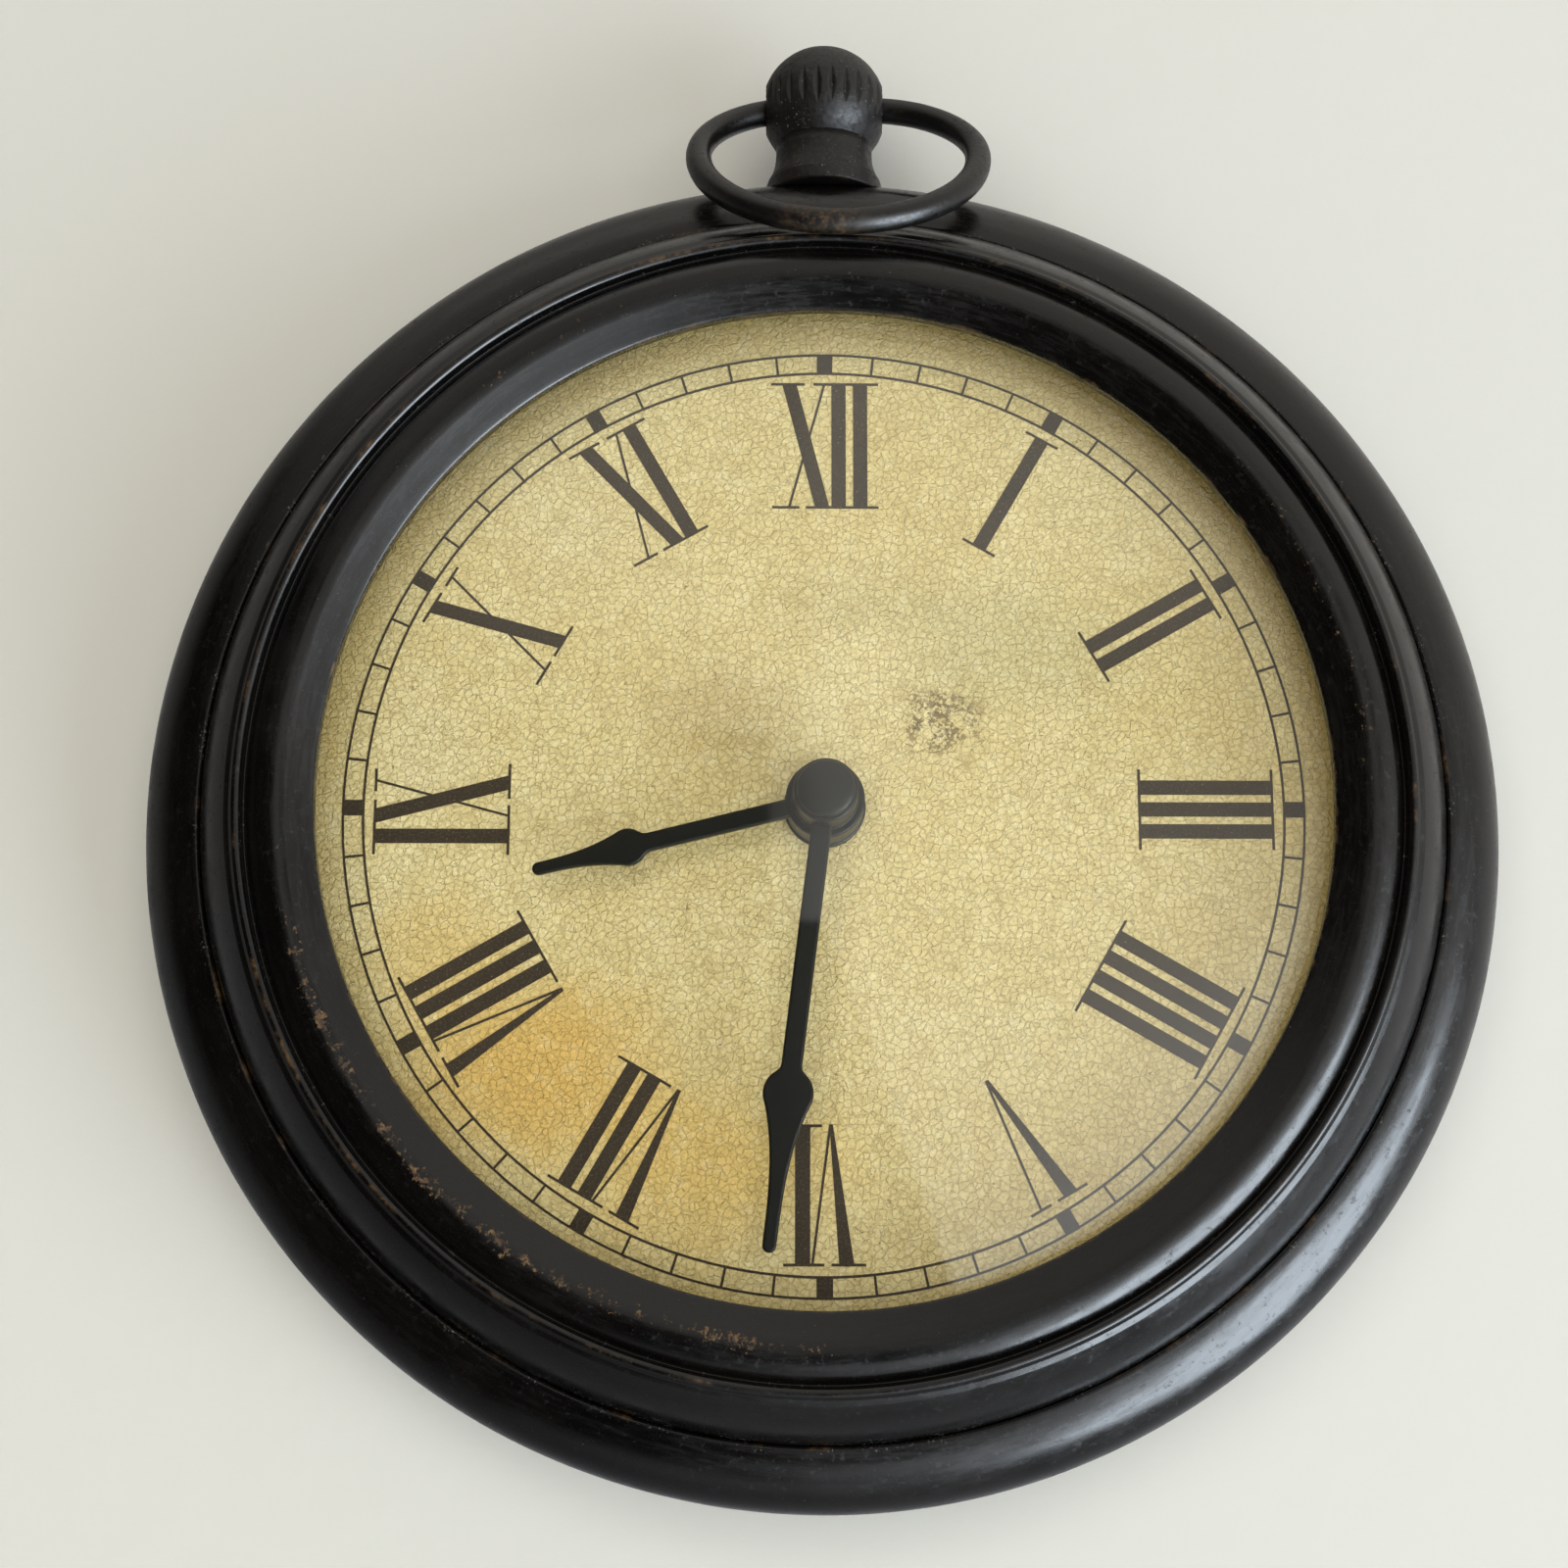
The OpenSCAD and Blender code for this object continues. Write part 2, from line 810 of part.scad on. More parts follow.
module movement_rear_shell() {
    color([0.14, 0.14, 0.15])
        upright()
            difference() {
                union() {
                    difference() {
                        translate([0, 0, move_back])
                            linear_extrude(move_split - move_back)
                                round_rect(move_w, move_w, 3);
                        block([-half_w + wall_t, bay_top + wall_t, floor_z],
                            [half_w - wall_t, half_w - wall_t, 20]);
                        block([-half_w + wall_t, bay_bottom, 0],
                            [half_w - wall_t, bay_top, 20]);
                    }
                    // bearings of the train
                    for (p = [[0, 0], third_at, inter_at, rotor_at])
                        at(p) rod(1.6, move_back + tiny, 4.6);
                    // well round the setting knob
                    at(knob_at) rod(6.8, move_back, 5.2);
                    // posts under the circuit board
                    for (p = [[12, 6], [23, 6]])
                        at(p) rod(1.2, move_back + tiny, board_z);
                }
                rod(seconds_arbor_r + pivot_play, 3, 6);
                for (p = [third_at, inter_at, rotor_at])
                    at(p) rod(arbor_r + pivot_play, 3, 6);
                at(knob_at) {
                    rod(5.6, 0, 4);
                    rod(1.1 + running, 0, 6);
                }
                // slots for the two battery contacts
                for (x = [-26.5, 25.4])
                    block([x, bay_top - 1, 5.8], [x + 0.8, bay_top + wall_t + 1, 8.2]);
            }
}

module movement_screws() {
    color([0.6, 0.6, 0.6])
        upright()
            movement_ears()
                difference() {
                    union() {
                        rod(0.9, move_front - 2, move_front + 1.4);
                        rod(2.1, move_front - 3.4, move_front - 2);
                    }
                    for (a = [0, 90])
                        rotate(a)
                            translate([-1.2, -0.2, move_front - 4])
                                cube([2.4, 0.4, 1.3]);
                }
}

module centre_bushing() {
    color([0.75, 0.62, 0.3])
        upright()
            ring(hour_tube_r + running, 4, ceil_z, 20.6);
}

// ---------- movement: motion work that turns the hands ----------

module minute_shaft() {
    color([0.75, 0.62, 0.3])
        upright()
            difference() {
                union() {
                    rod(minute_shaft_r, 11.4, minute_boss_top);
                    gear(12, m_cannon_work, pinion_shift(12), 0, 14.6, 0.9);
                }
                rod(seconds_arbor_r + 0.06, 0, 24);
            }
}

module minute_work_wheel() {
    color([0.9, 0.9, 0.88])
        upright()
            at(work_at)
                difference() {
                    union() {
                        gear(36, m_cannon_work, -pinion_shift(12), work_phase, 14.6, 0.9);
                        gear(10, m_work_hour, pinion_shift(10), 0, 15.4, 1.3);
                    }
                    rod(0.6 + running, 0, 20);
                }
}

module hour_wheel() {
    color([0.9, 0.9, 0.88])
        upright()
            difference() {
                union() {
                    gear(40, m_work_hour, -pinion_shift(10), hour_phase, 15.8, 0.8);
                    rod(hour_tube_r, 15.8, hour_z + blade_t);
                }
                rod(minute_shaft_r + running, 0, 40);
            }
}

module setting_knob() {
    ribs = 24;
    color([0.85, 0.85, 0.83])
        upright()
            at(knob_at) {
                difference() {
                    rod(5, 1.6, 3.9);
                    for (i = [0:ribs - 1])
                        rotate(i * 360 / ribs)
                            translate([5.2, 0, 0])
                                rod(0.4, 1, 5);
                }
                rod(1.1, 3.9 - tiny, 14.6);
                gear(12, m_cannon_work, pinion_shift(12), knob_phase, 14.6, 0.9);
                rod(0.5, 15.4, ceil_z + 0.5);
            }
}

// ---------- movement: train from the rotor to the centre wheel ----------

// Light wheel: rim, crossings and hub cut out of a toothed disc
module centre_wheel() {
    color([0.92, 0.92, 0.9])
        upright()
            difference() {
                union() {
                    gear(64, m_third_centre, -pinion_shift(8), centre_phase, 12.4, 0.8);
                    rod(2.6, 11.8, 13.2);
                }
                rod(minute_shaft_r + running, 0, 20);
                on_circle(5, 4.7) rod(1.2, 10, 15);
            }
}

module third_wheel() {
    color([0.92, 0.92, 0.9])
        upright()
            at(third_at) {
                gear(60, m_seconds_third, -pinion_shift(8), third_phase, 9.9, 0.8);
                gear(8, m_third_centre, pinion_shift(8), 0, 10.7 - tiny, 2.8);
                rod(arbor_r, 3.1, ceil_z + 0.5);
            }
}

module seconds_wheel() {
    color([0.92, 0.92, 0.9])
        upright() {
            gear(60, m_inter_seconds, -pinion_shift(10), 0, 8, 0.8);
            gear(8, m_seconds_third, pinion_shift(8), 0, 8.8 - tiny, 2.4);
            rod(seconds_arbor_r, 3.1, 20);
        }
}

module intermediate_wheel() {
    color([0.92, 0.92, 0.9])
        upright()
            at(inter_at) {
                gear(40, m_rotor_inter, -pinion_shift(8), 0, 6.4, 0.8);
                gear(10, m_inter_seconds, pinion_shift(10), inter_phase, 7.2 - tiny, 2);
                rod(arbor_r, 3.1, ceil_z + 0.5);
            }
}

module rotor_pinion() {
    color([0.92, 0.92, 0.9])
        upright()
            at(rotor_at) {
                gear(8, m_rotor_inter, pinion_shift(8), rotor_phase, 6.2, 1.6);
                rod(arbor_r, 3.1, ceil_z + 0.5);
            }
}

module rotor_magnet() {
    color([0.3, 0.3, 0.32])
        upright()
            at(rotor_at)
                ring(arbor_r, 2.5, 7.8, 10.2);
}

// ---------- movement: motor and electronics ----------

module stator() {
    color([0.7, 0.7, 0.72])
        upright()
            translate([0, 0, 8.6])
                linear_extrude(1)
                    difference() {
                        union() {
                            translate(rotor_at)
                                circle(4.2);
                            translate([-16.3, rotor_at[1]])
                                square([4, 17.5 - rotor_at[1]]);
                            translate([-25, 14.5])
                                square([12.7, 3]);
                            translate([-25, -7.4])
                                square([25 + rotor_at[0], 3]);
                        }
                        translate(rotor_at)
                            circle(3);
                    }
}

module coil_core() {
    color([0.6, 0.6, 0.62])
        upright()
            block([coil_at[0] - 1, -7.2, 9.6], [coil_at[0] + 1, 17.3, 10.4]);
}

// Children along the coil's axis
module coil_axis()
    translate([coil_at[0], coil_at[1], coil_z])
        rotate([90, 0, 0])
            children();

module coil_bobbin() {
    flange = 0.8;
    color([0.9, 0.88, 0.8])
        upright()
            difference() {
                coil_axis() {
                    rod(1.8, -coil_len / 2, coil_len / 2);
                    for (s = [-1, 1])
                        rod(3.5, s * (coil_len - flange) / 2 - flange / 2,
                            s * (coil_len - flange) / 2 + flange / 2);
                }
                block([coil_at[0] - 1, -7.2, 9.6], [coil_at[0] + 1, 17.3, 10.4]);
            }
}

module coil_winding() {
    color([0.72, 0.4, 0.2])
        upright()
            coil_axis()
                ring(1.8, 3.2, -coil_len / 2 + 0.8, coil_len / 2 - 0.8);
}

module circuit_board() {
    color([0.15, 0.4, 0.2])
        upright()
            block([10, -10.5, board_z], [25, 8, board_z + board_t]);
}

module chip_cover() {
    color([0.06, 0.06, 0.06])
        upright()
            translate([16.5, 1.5, 0])
                intersection() {
                    rod(3.2, board_z + board_t, 8);
                    translate([0, 0, 3])
                        sphere(4.4);
                }
}

module quartz_crystal() {
    color([0.8, 0.8, 0.82])
        upright()
            translate([22.6, -3, board_z + board_t + 1.5])
                rotate([-90, 0, 0]) {
                    rod(1.5, 0, 8);
                    rod(1.1, -0.6, tiny);
                }
}

module battery_cell() {
    color([0.75, 0.6, 0.25])
        upright()
            translate([cell_x0, cell_y, cell_z])
                rotate([0, 90, 0]) {
                    rod(cell_r, 0, cell_len);
                    rod(2.75, cell_len - tiny, cell_len + nub_len);
                }
}

module positive_contact() {
    x = cell_x0 + cell_len + nub_len;
    color([0.8, 0.8, 0.78])
        upright() {
            block([x, -23.5, 5], [x + 0.4, -15.5, 14]);
            block([x, -15.6, 6], [x + 0.4, -7, 8]);
            block([22, -9, 6], [x + 0.4, -7, 6.4]);
        }
}

module negative_contact() {
    x = cell_x0 - 1;
    color([0.8, 0.8, 0.78])
        upright() {
            block([x - 0.4, -23.5, 5], [x, -15.5, 14]);
            translate([x - tiny, cell_y, cell_z])
                rotate([0, 90, 0])
                    cylinder(r1 = 3, r2 = 1.5, h = 1 + tiny);
            block([x - 0.4, -15.6, 6], [x, -8.6, 8]);
            block([x - 0.4, -10.6, 6], [12, -8.6, 6.4]);
        }
}

// ---------- nodes ----------

case_shell();
bezel();
glass_lens();
glass_gasket();
glass_retainer();
dial_plate();
dial_paper();
dial_print();
dial_screws();
back_cover();
back_cover_screws();
hanger_plate();
hanger_rivets();
pendant_neck();
crown();
bow();
pendant_stud();
pendant_washer();
pendant_nut();
hour_hand();
minute_hand();
hand_cap();
movement_front_shell();
movement_rear_shell();
movement_screws();
centre_bushing();
minute_shaft();
minute_work_wheel();
hour_wheel();
setting_knob();
centre_wheel();
third_wheel();
seconds_wheel();
intermediate_wheel();
rotor_pinion();
rotor_magnet();
stator();
coil_core();
coil_bobbin();
coil_winding();
circuit_board();
chip_cover();
quartz_crystal();
battery_cell();
positive_contact();
negative_contact();
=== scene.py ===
"""Looks for the pocket-watch wall clock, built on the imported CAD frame."""
import math

import bpy
import numpy as np
from mathutils import Matrix, Vector, noise


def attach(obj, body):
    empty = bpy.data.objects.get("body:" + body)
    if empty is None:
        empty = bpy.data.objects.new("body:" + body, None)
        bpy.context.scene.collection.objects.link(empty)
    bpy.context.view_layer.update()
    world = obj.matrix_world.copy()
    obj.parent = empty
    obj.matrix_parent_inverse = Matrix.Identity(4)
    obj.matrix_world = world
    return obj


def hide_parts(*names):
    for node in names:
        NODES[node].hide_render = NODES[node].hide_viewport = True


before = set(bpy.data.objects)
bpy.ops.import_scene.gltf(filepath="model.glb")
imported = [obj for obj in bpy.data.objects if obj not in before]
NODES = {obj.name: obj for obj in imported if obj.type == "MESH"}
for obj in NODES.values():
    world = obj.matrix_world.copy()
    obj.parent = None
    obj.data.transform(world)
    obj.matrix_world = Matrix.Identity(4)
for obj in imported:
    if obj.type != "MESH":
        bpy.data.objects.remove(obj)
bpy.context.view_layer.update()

MM = 0.001
TAU = 2 * math.pi

# Heights above the wall and radii from the hands' axis, in millimetres, as in the CAD.
RIM_C, RIM_Z, RIM_R, SHEET = 73.1, 15.0, 8.4, 1.2
LIP_R = 73.5
SEAT_Z = 17.8
DRUM_R = 76.5
DIAL_Z = 20.0
GLASS_R, GLASS_TOP, GLASS_T, GLASS_BEND = 63.55, 35.6, 1.6, 295.0
BEZEL_SHEET, FLANK_BEND, BEAD_R = 1.1, 16.0, 0.6
BACK_LEDGE_R, DIAL_LEDGE_R = 66.0, 64.5
PIVOT_Z = 92.6
BOW_SHIFT, BOW_LEAN = 1.7, math.radians(38.6)
MINUTE_ANGLE, HOUR_ANGLE = 187.0, 256.0


# ---------------------------------------------------------------- mesh helpers

def arc(cx, cy, r, a0, a1, n=12):
    """Points on an arc, with the angles in degrees."""
    return [(cx + r * math.cos(math.radians(a0 + (a1 - a0) * i / n)),
             cy + r * math.sin(math.radians(a0 + (a1 - a0) * i / n))) for i in range(n + 1)]


def rounded(corners, n=4):
    """A closed loop with its corners rounded. Each corner is (x, y) or (x, y, radius)."""
    out = []
    for i, corner in enumerate(corners):
        radius = corner[2] if len(corner) > 2 else 0
        p = Vector(corner[:2])
        if radius <= 0:
            out.append(tuple(p))
            continue
        u = (Vector(corners[i - 1][:2]) - p).normalized()
        v = (Vector(corners[(i + 1) % len(corners)][:2]) - p).normalized()
        half = u.angle(v) / 2
        reach = radius / math.tan(half)
        centre = p + (u + v).normalized() * (radius / math.sin(half))
        start, end = p + u * reach - centre, p + v * reach - centre
        for k in range(n + 1):
            d = start.lerp(end, k / n).normalized() * radius
            out.append(tuple(centre + d))
    return out


def make_object(name, verts, faces, smooth=True):
    mesh = bpy.data.meshes.new(name)
    mesh.from_pydata(np.asarray(verts, float).tolist(), [], faces)
    mesh.update()
    if smooth:
        mesh.shade_smooth()
    obj = bpy.data.objects.new(name, mesh)
    bpy.context.scene.collection.objects.link(obj)
    return obj


def outward(verts, faces):
    """The faces of a closed mesh, turned over if they point inwards."""
    v = np.asarray(verts, float)
    volume = 0.0
    for size in sorted({len(f) for f in faces}):
        group = np.array([f for f in faces if len(f) == size])
        for k in range(1, size - 1):
            volume += np.einsum("ij,ij->", v[group[:, 0]],
                                np.cross(v[group[:, k]], v[group[:, k + 1]]))
    return faces if volume > 0 else [tuple(reversed(f)) for f in faces]


def dial_axis(r, a, z):
    """A point at radius r, a radians clockwise from 12, z above the wall."""
    return (r * math.sin(a) * MM, -z * MM, r * math.cos(a) * MM)


def pendant_axis(r, a, z):
    """A point about the crown's vertical axis, at height z."""
    return (r * math.sin(a) * MM, (-RIM_Z - r * math.cos(a)) * MM, z * MM)


def lathe(profile, segments, place, shift=None, loop=True):
    """Turns a profile of (r, z) points. A loop closes on itself; otherwise both ends lie on the axis.
    shift(r, a, z) returns the changed (r, z), or (r, z, a)."""
    verts, faces, rows = [], [], []
    for r, z in profile:
        if r < 1e-6:
            rows.append([len(verts)] * segments)
            verts.append(place(0, 0, z))
            continue
        rows.append(list(range(len(verts), len(verts) + segments)))
        for k in range(segments):
            a = TAU * k / segments
            moved = shift(r, a, z) if shift else (r, z)
            verts.append(place(moved[0], moved[2] if len(moved) > 2 else a, moved[1]))
    pairs = list(zip(rows, rows[1:])) + ([(rows[-1], rows[0])] if loop else [])
    for low, high in pairs:
        for k in range(segments):
            m = (k + 1) % segments
            quad = [low[k], low[m], high[m], high[k]]
            face = tuple(dict.fromkeys(quad))
            if len(face) > 2:
                faces.append(face)
    return verts, outward(verts, faces)


def plate(outline, z0, z1, round_r, angle, steps=4):
    """A flat moulded shape with rounded edges, as rings of vertices from the back to the front.
    The outline is (x, y) in the dial plane, turned clockwise by angle degrees."""
    pts = np.array(outline, float)
    ahead, behind = np.roll(pts, -1, 0), np.roll(pts, 1, 0)
    t = ahead - behind
    normal = np.stack([t[:, 1], -t[:, 0]], 1)
    normal /= np.linalg.norm(normal, axis=1)[:, None]
    area = np.sum(pts[:, 0] * ahead[:, 1] - ahead[:, 0] * pts[:, 1])
    if area < 0:
        normal = -normal
    levels = [(round_r * (1 - math.sin(b)), z0 + round_r * (1 - math.cos(b)))
              for b in [math.pi / 2 * k / steps for k in range(steps + 1)]]
    levels += [(round_r * (1 - math.cos(b)), z1 - round_r * (1 - math.sin(b)))
               for b in [math.pi / 2 * k / steps for k in range(steps + 1)]]
    a = math.radians(angle)
    verts, n = [], len(pts)
    for inset, z in levels:
        ring = pts - normal * inset
        for x, y in ring:
            verts.append(((x * math.cos(a) + y * math.sin(a)) * MM, -z * MM,
                          (-x * math.sin(a) + y * math.cos(a)) * MM))
    faces = [tuple(range(n - 1, -1, -1)), tuple(range((len(levels) - 1) * n, len(levels) * n))]
    for j in range(len(levels) - 1):
        for k in range(n):
            m = (k + 1) % n
            faces.append((j * n + k, j * n + m, (j + 1) * n + m, (j + 1) * n + k))
    return verts, outward(verts, faces)


def joined(*parts):
    verts, faces = [], []
    for v, f in parts:
        base = len(verts)
        verts += list(v)
        faces += [tuple(i + base for i in face) for face in f]
    return verts, faces


def piece(name, parts, body, material, node, weighted=True):
    """One visible piece that stands for a CAD node."""
    obj = make_object(name, *joined(*parts))
    obj.data.materials.append(material)
    if weighted:
        mod = obj.modifiers.new("normals", "WEIGHTED_NORMAL")
        mod.keep_sharp = True
    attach(obj, body)
    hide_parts(node)
    return obj


def ripple(r, a, z, size, amount, seed=0.0):
    """Smooth unevenness of spun and painted metal, in millimetres."""
    p = Vector((r * math.cos(a), r * math.sin(a), z)) / size + Vector((seed, seed, seed))
    return amount * noise.noise(p)


# ---------------------------------------------------------------- material helpers

class Shader:
    """A node tree written as expressions. Lengths inside it are millimetres in the row frame."""

    def __init__(self, name, world=None):
        """Makes a new material, or fills the world's own tree."""
        self.owner = world or bpy.data.materials.new(name)
        self.owner.use_nodes = True
        self.tree = self.owner.node_tree
        self.tree.nodes.clear()
        coords = self.node("ShaderNodeTexCoord").outputs["Object"]
        self.pos = self.vec("SCALE", coords, scale=1000)
        xyz = self.node("ShaderNodeSeparateXYZ")
        self.link(self.pos, xyz.inputs[0])
        self.x, self.y, self.z = xyz.outputs

    def node(self, kind, **props):
        n = self.tree.nodes.new(kind)
        for k, v in props.items():
            setattr(n, k, v)
        return n

    def link(self, value, socket):
        if isinstance(value, bpy.types.NodeSocket):
            self.tree.links.new(value, socket)
        elif isinstance(value, (tuple, list)) and len(value) == 3 and socket.type == "RGBA":
            socket.default_value = (*value, 1)
        else:
            socket.default_value = value

    def math(self, op, a, b=None):
        n = self.node("ShaderNodeMath", operation=op)
        for i, v in enumerate((a, b)):
            if v is not None:
                self.link(v, n.inputs[i])
        return n.outputs[0]

    def add(self, a, b): return self.math("ADD", a, b)
    def sub(self, a, b): return self.math("SUBTRACT", a, b)
    def mul(self, a, b): return self.math("MULTIPLY", a, b)
    def high(self, a, b): return self.math("MAXIMUM", a, b)

    def vec(self, op, a, b=None, scale=None):
        n = self.node("ShaderNodeVectorMath", operation=op)
        self.link(a, n.inputs[0])
        if b is not None:
            self.link(b, n.inputs[1])
        if scale is not None:
            n.inputs["Scale"].default_value = scale
        return n.outputs[0]

    def combine(self, x, y, z):
        n = self.node("ShaderNodeCombineXYZ")
        for i, v in enumerate((x, y, z)):
            self.link(v, n.inputs[i])
        return n.outputs[0]

    def mix(self, fac, a, b):
        n = self.node("ShaderNodeMix", data_type="RGBA")
        self.link(fac, n.inputs[0])
        self.link(a, n.inputs[6])
        self.link(b, n.inputs[7])
        return n.outputs[2]

    def ramp(self, value, low, high, a=0.0, b=1.0):
        """value from low..high mapped smoothly to a..b, clamped."""
        n = self.node("ShaderNodeMapRange", clamp=True, interpolation_type="SMOOTHSTEP")
        for i, v in enumerate((value, low, high, a, b)):
            self.link(v, n.inputs[i])
        return n.outputs[0]

    def noise(self, size, detail=4, rough=0.55, at=None, w=0.0):
        """Fractal noise, 0..1, with features about size mm across."""
        n = self.node("ShaderNodeTexNoise", noise_dimensions="4D")
        self.link(at if at is not None else self.pos, n.inputs["Vector"])
        n.inputs["Scale"].default_value = 1 / size
        n.inputs["Detail"].default_value = detail
        n.inputs["Roughness"].default_value = rough
        n.inputs["W"].default_value = w
        return n.outputs[0]

    def cells(self, size, at=None, feature="F1"):
        """Distance from the cells' points, or their edges, about size mm across."""
        n = self.node("ShaderNodeTexVoronoi", feature=feature)
        self.link(at if at is not None else self.pos, n.inputs["Vector"])
        n.inputs["Scale"].default_value = 1 / size
        return n.outputs["Distance"]

    def band(self, value, centre, width):
        """A soft bump of 1 at centre that falls to 0 at width either side."""
        d = self.math("ABSOLUTE", self.sub(value, centre))
        return self.ramp(d, 0.0, width, 1.0, 0.0)

    def bump(self, height, strength, distance, normal=None):
        n = self.node("ShaderNodeBump")
        n.inputs["Strength"].default_value = strength
        n.inputs["Distance"].default_value = distance * MM
        self.link(height, n.inputs["Height"])
        if normal is not None:
            self.link(normal, n.inputs["Normal"])
        return n.outputs[0]

    def principled(self, **inputs):
        n = self.node("ShaderNodeBsdfPrincipled")
        for k, v in inputs.items():
            self.link(v, n.inputs[k.replace("_", " ")])
        return n.outputs[0]

    def blend(self, fac, first, second):
        """The first surface where fac is 0 and the second where it is 1."""
        n = self.node("ShaderNodeMixShader")
        for i, v in enumerate((fac, first, second)):
            self.link(v, n.inputs[i])
        return n.outputs[0]

    def done(self, surface):
        out = self.node("ShaderNodeOutputMaterial")
        self.link(surface, out.inputs["Surface"])
        return self.owner

    def radius(self):
        """Distance from the hands' axis."""
        return self.math("SQRT", self.add(self.mul(self.x, self.x), self.mul(self.z, self.z)))

    def angle(self):
        """Clockwise angle from 12, in degrees."""
        return self.mul(self.math("ARCTAN2", self.x, self.z), 180 / math.pi)


def streaks(s, width, length):
    """Noise drawn out along the direction in which the metal was spun."""
    turn = s.vec("SCALE", s.vec("NORMALIZE", s.combine(s.x, 0.0, s.z)), scale=70 * width / length)
    across = s.combine(0.0, s.sub(s.radius(), s.mul(s.y, 0.5)), 0.0)
    return s.noise(width, 4, 0.65, at=s.vec("ADD", turn, across))


def paint(name, wear=None, dust=None, rough=0.23, tone=(0.0015, 0.0013, 0.0011), spun=False):
    """Dark bronze paint, satin, with pits, lint and brown rub-through where wear is high."""
    s = Shader(name)
    cloud = s.noise(14, 4)
    fine = streaks(s, 0.5, 4.0) if spun else s.noise(0.5, 3, 0.6)
    grain = s.noise(0.16, 2, 0.5)
    warm = tuple(c * f for c, f in zip(tone, (1.9, 1.6, 1.3)))
    base = s.mix(s.ramp(cloud, 0.35, 0.7), tone, warm)
    mask = wear(s) if wear else 0.0
    rub = s.mix(s.ramp(s.noise(0.6, 3, w=2), 0.4, 0.65), (0.032, 0.016, 0.006), (0.12, 0.066, 0.021))
    colour = s.mix(mask, base, rub)
    # lint and dust
    lint = s.ramp(s.cells(1.1), 0.05, 0.02)
    keep = s.ramp(s.noise(3.5, 2, w=4), 0.56, 0.7)
    lint = s.mul(lint, keep)
    if dust:
        lint = s.high(lint, dust(s))
    colour = s.mix(s.mul(lint, 0.75), colour, (0.36, 0.36, 0.34))
    roughness = s.add(s.ramp(fine, 0.32, 0.72, rough - 0.06, rough + 0.11),
                      s.ramp(cloud, 0.3, 0.7, -0.03, 0.05))
    # small dull spots where the gloss has gone
    dull = s.ramp(s.noise(0.8, 4, 0.75, w=11), 0.56, 0.66, 0.0, 0.22)
    roughness = s.add(s.add(roughness, dull), s.mul(s.high(mask, lint), 0.25))
    n = s.bump(grain, 0.25, 0.006)
    n = s.bump(fine, 0.35, 0.015, n)
    n = s.bump(s.noise(6, 3, w=7), 0.35, 0.10, n)
    return s.done(s.principled(Base_Color=colour, Roughness=roughness, Normal=n, Specular_IOR_Level=0.8))


def plastic(name, colour, rough=0.4, grain=0.15, depth=0.02):
    """Moulded plastic or rubber with a fine grain."""
    s = Shader(name)
    n1 = s.noise(grain, 3, 0.6)
    n2 = s.noise(9, 3)
    dark = tuple(c * 0.88 for c in colour)
    return s.done(s.principled(
        Base_Color=s.mix(n2, dark, colour),
        Roughness=s.ramp(n1, 0.3, 0.7, rough - 0.06, rough + 0.08),
        Normal=s.bump(n1, 0.5, depth)))


def metal(name, colour, rough=0.3, brushed=False):
    """Plated or bare metal; brushed draws its grain out along z."""
    s = Shader(name)
    at = s.vec("MULTIPLY", s.pos, (6.0, 6.0, 0.35)) if brushed else s.pos
    n1 = s.noise(0.35, 4, 0.6, at=at)
    n2 = s.noise(5, 3)
    dark = tuple(c * 0.85 for c in colour)
    return s.done(s.principled(
        Base_Color=s.mix(n2, dark, colour), Metallic=1.0,
        Roughness=s.ramp(n1, 0.3, 0.7, rough - 0.07, rough + 0.09),
        Normal=s.bump(n1, 0.3, 0.01)))


# ---------------------------------------------------------------- wear and dust of the case

def bezel_wear(s):
    r, a = s.radius(), s.angle()
    # rubbed grains on the roll's inner shoulder, strongest at the lower left
    wobble = s.mul(s.sub(s.noise(9, 2, w=1), 0.5), 2.0)
    line = s.band(s.add(r, wobble), 62.6, 1.7)
    sector = s.add(s.ramp(s.math("ABSOLUTE", s.add(a, 142)), 24, 60, 1, 0),
                   s.ramp(s.math("ABSOLUTE", s.sub(a, 72)), 8, 34, 0.62, 0))
    sector = s.add(sector, s.ramp(s.math("ABSOLUTE", s.add(a, 22)), 10, 60, 0.4, 0))
    grains = s.add(s.mul(s.noise(0.55, 3, 0.7, w=3), 0.6), s.mul(s.noise(2.6, 3, 0.7, w=4), 0.4))
    reach = s.mul(line, sector)
    rub = s.ramp(s.add(grains, s.mul(reach, 0.13)), 0.63, 0.69)
    rub = s.mul(rub, s.ramp(reach, 0.05, 0.3))
    # bare edge of the bead and the opening
    bead = s.mul(s.band(r, 67.6, 0.45), s.ramp(s.noise(6, 4, 0.7, w=5), 0.50, 0.66, 0.0, 0.55))
    edge = s.mul(s.band(r, 58.8, 0.25), s.ramp(s.noise(3, 3, w=6), 0.52, 0.66, 0.0, 0.6))
    return s.high(rub, s.high(bead, edge))


def bezel_dust(s):
    r = s.radius()
    crease = s.mul(s.band(r, 73.3, 0.8), s.ramp(s.noise(0.35, 2, w=8), 0.56, 0.68))
    groove = s.mul(s.band(r, 66.75, 0.45), s.ramp(s.noise(0.5, 2, w=9), 0.6, 0.72))
    return s.mul(s.high(crease, groove), s.ramp(s.noise(4, 3, w=12), 0.45, 0.65, 0.0, 0.35))


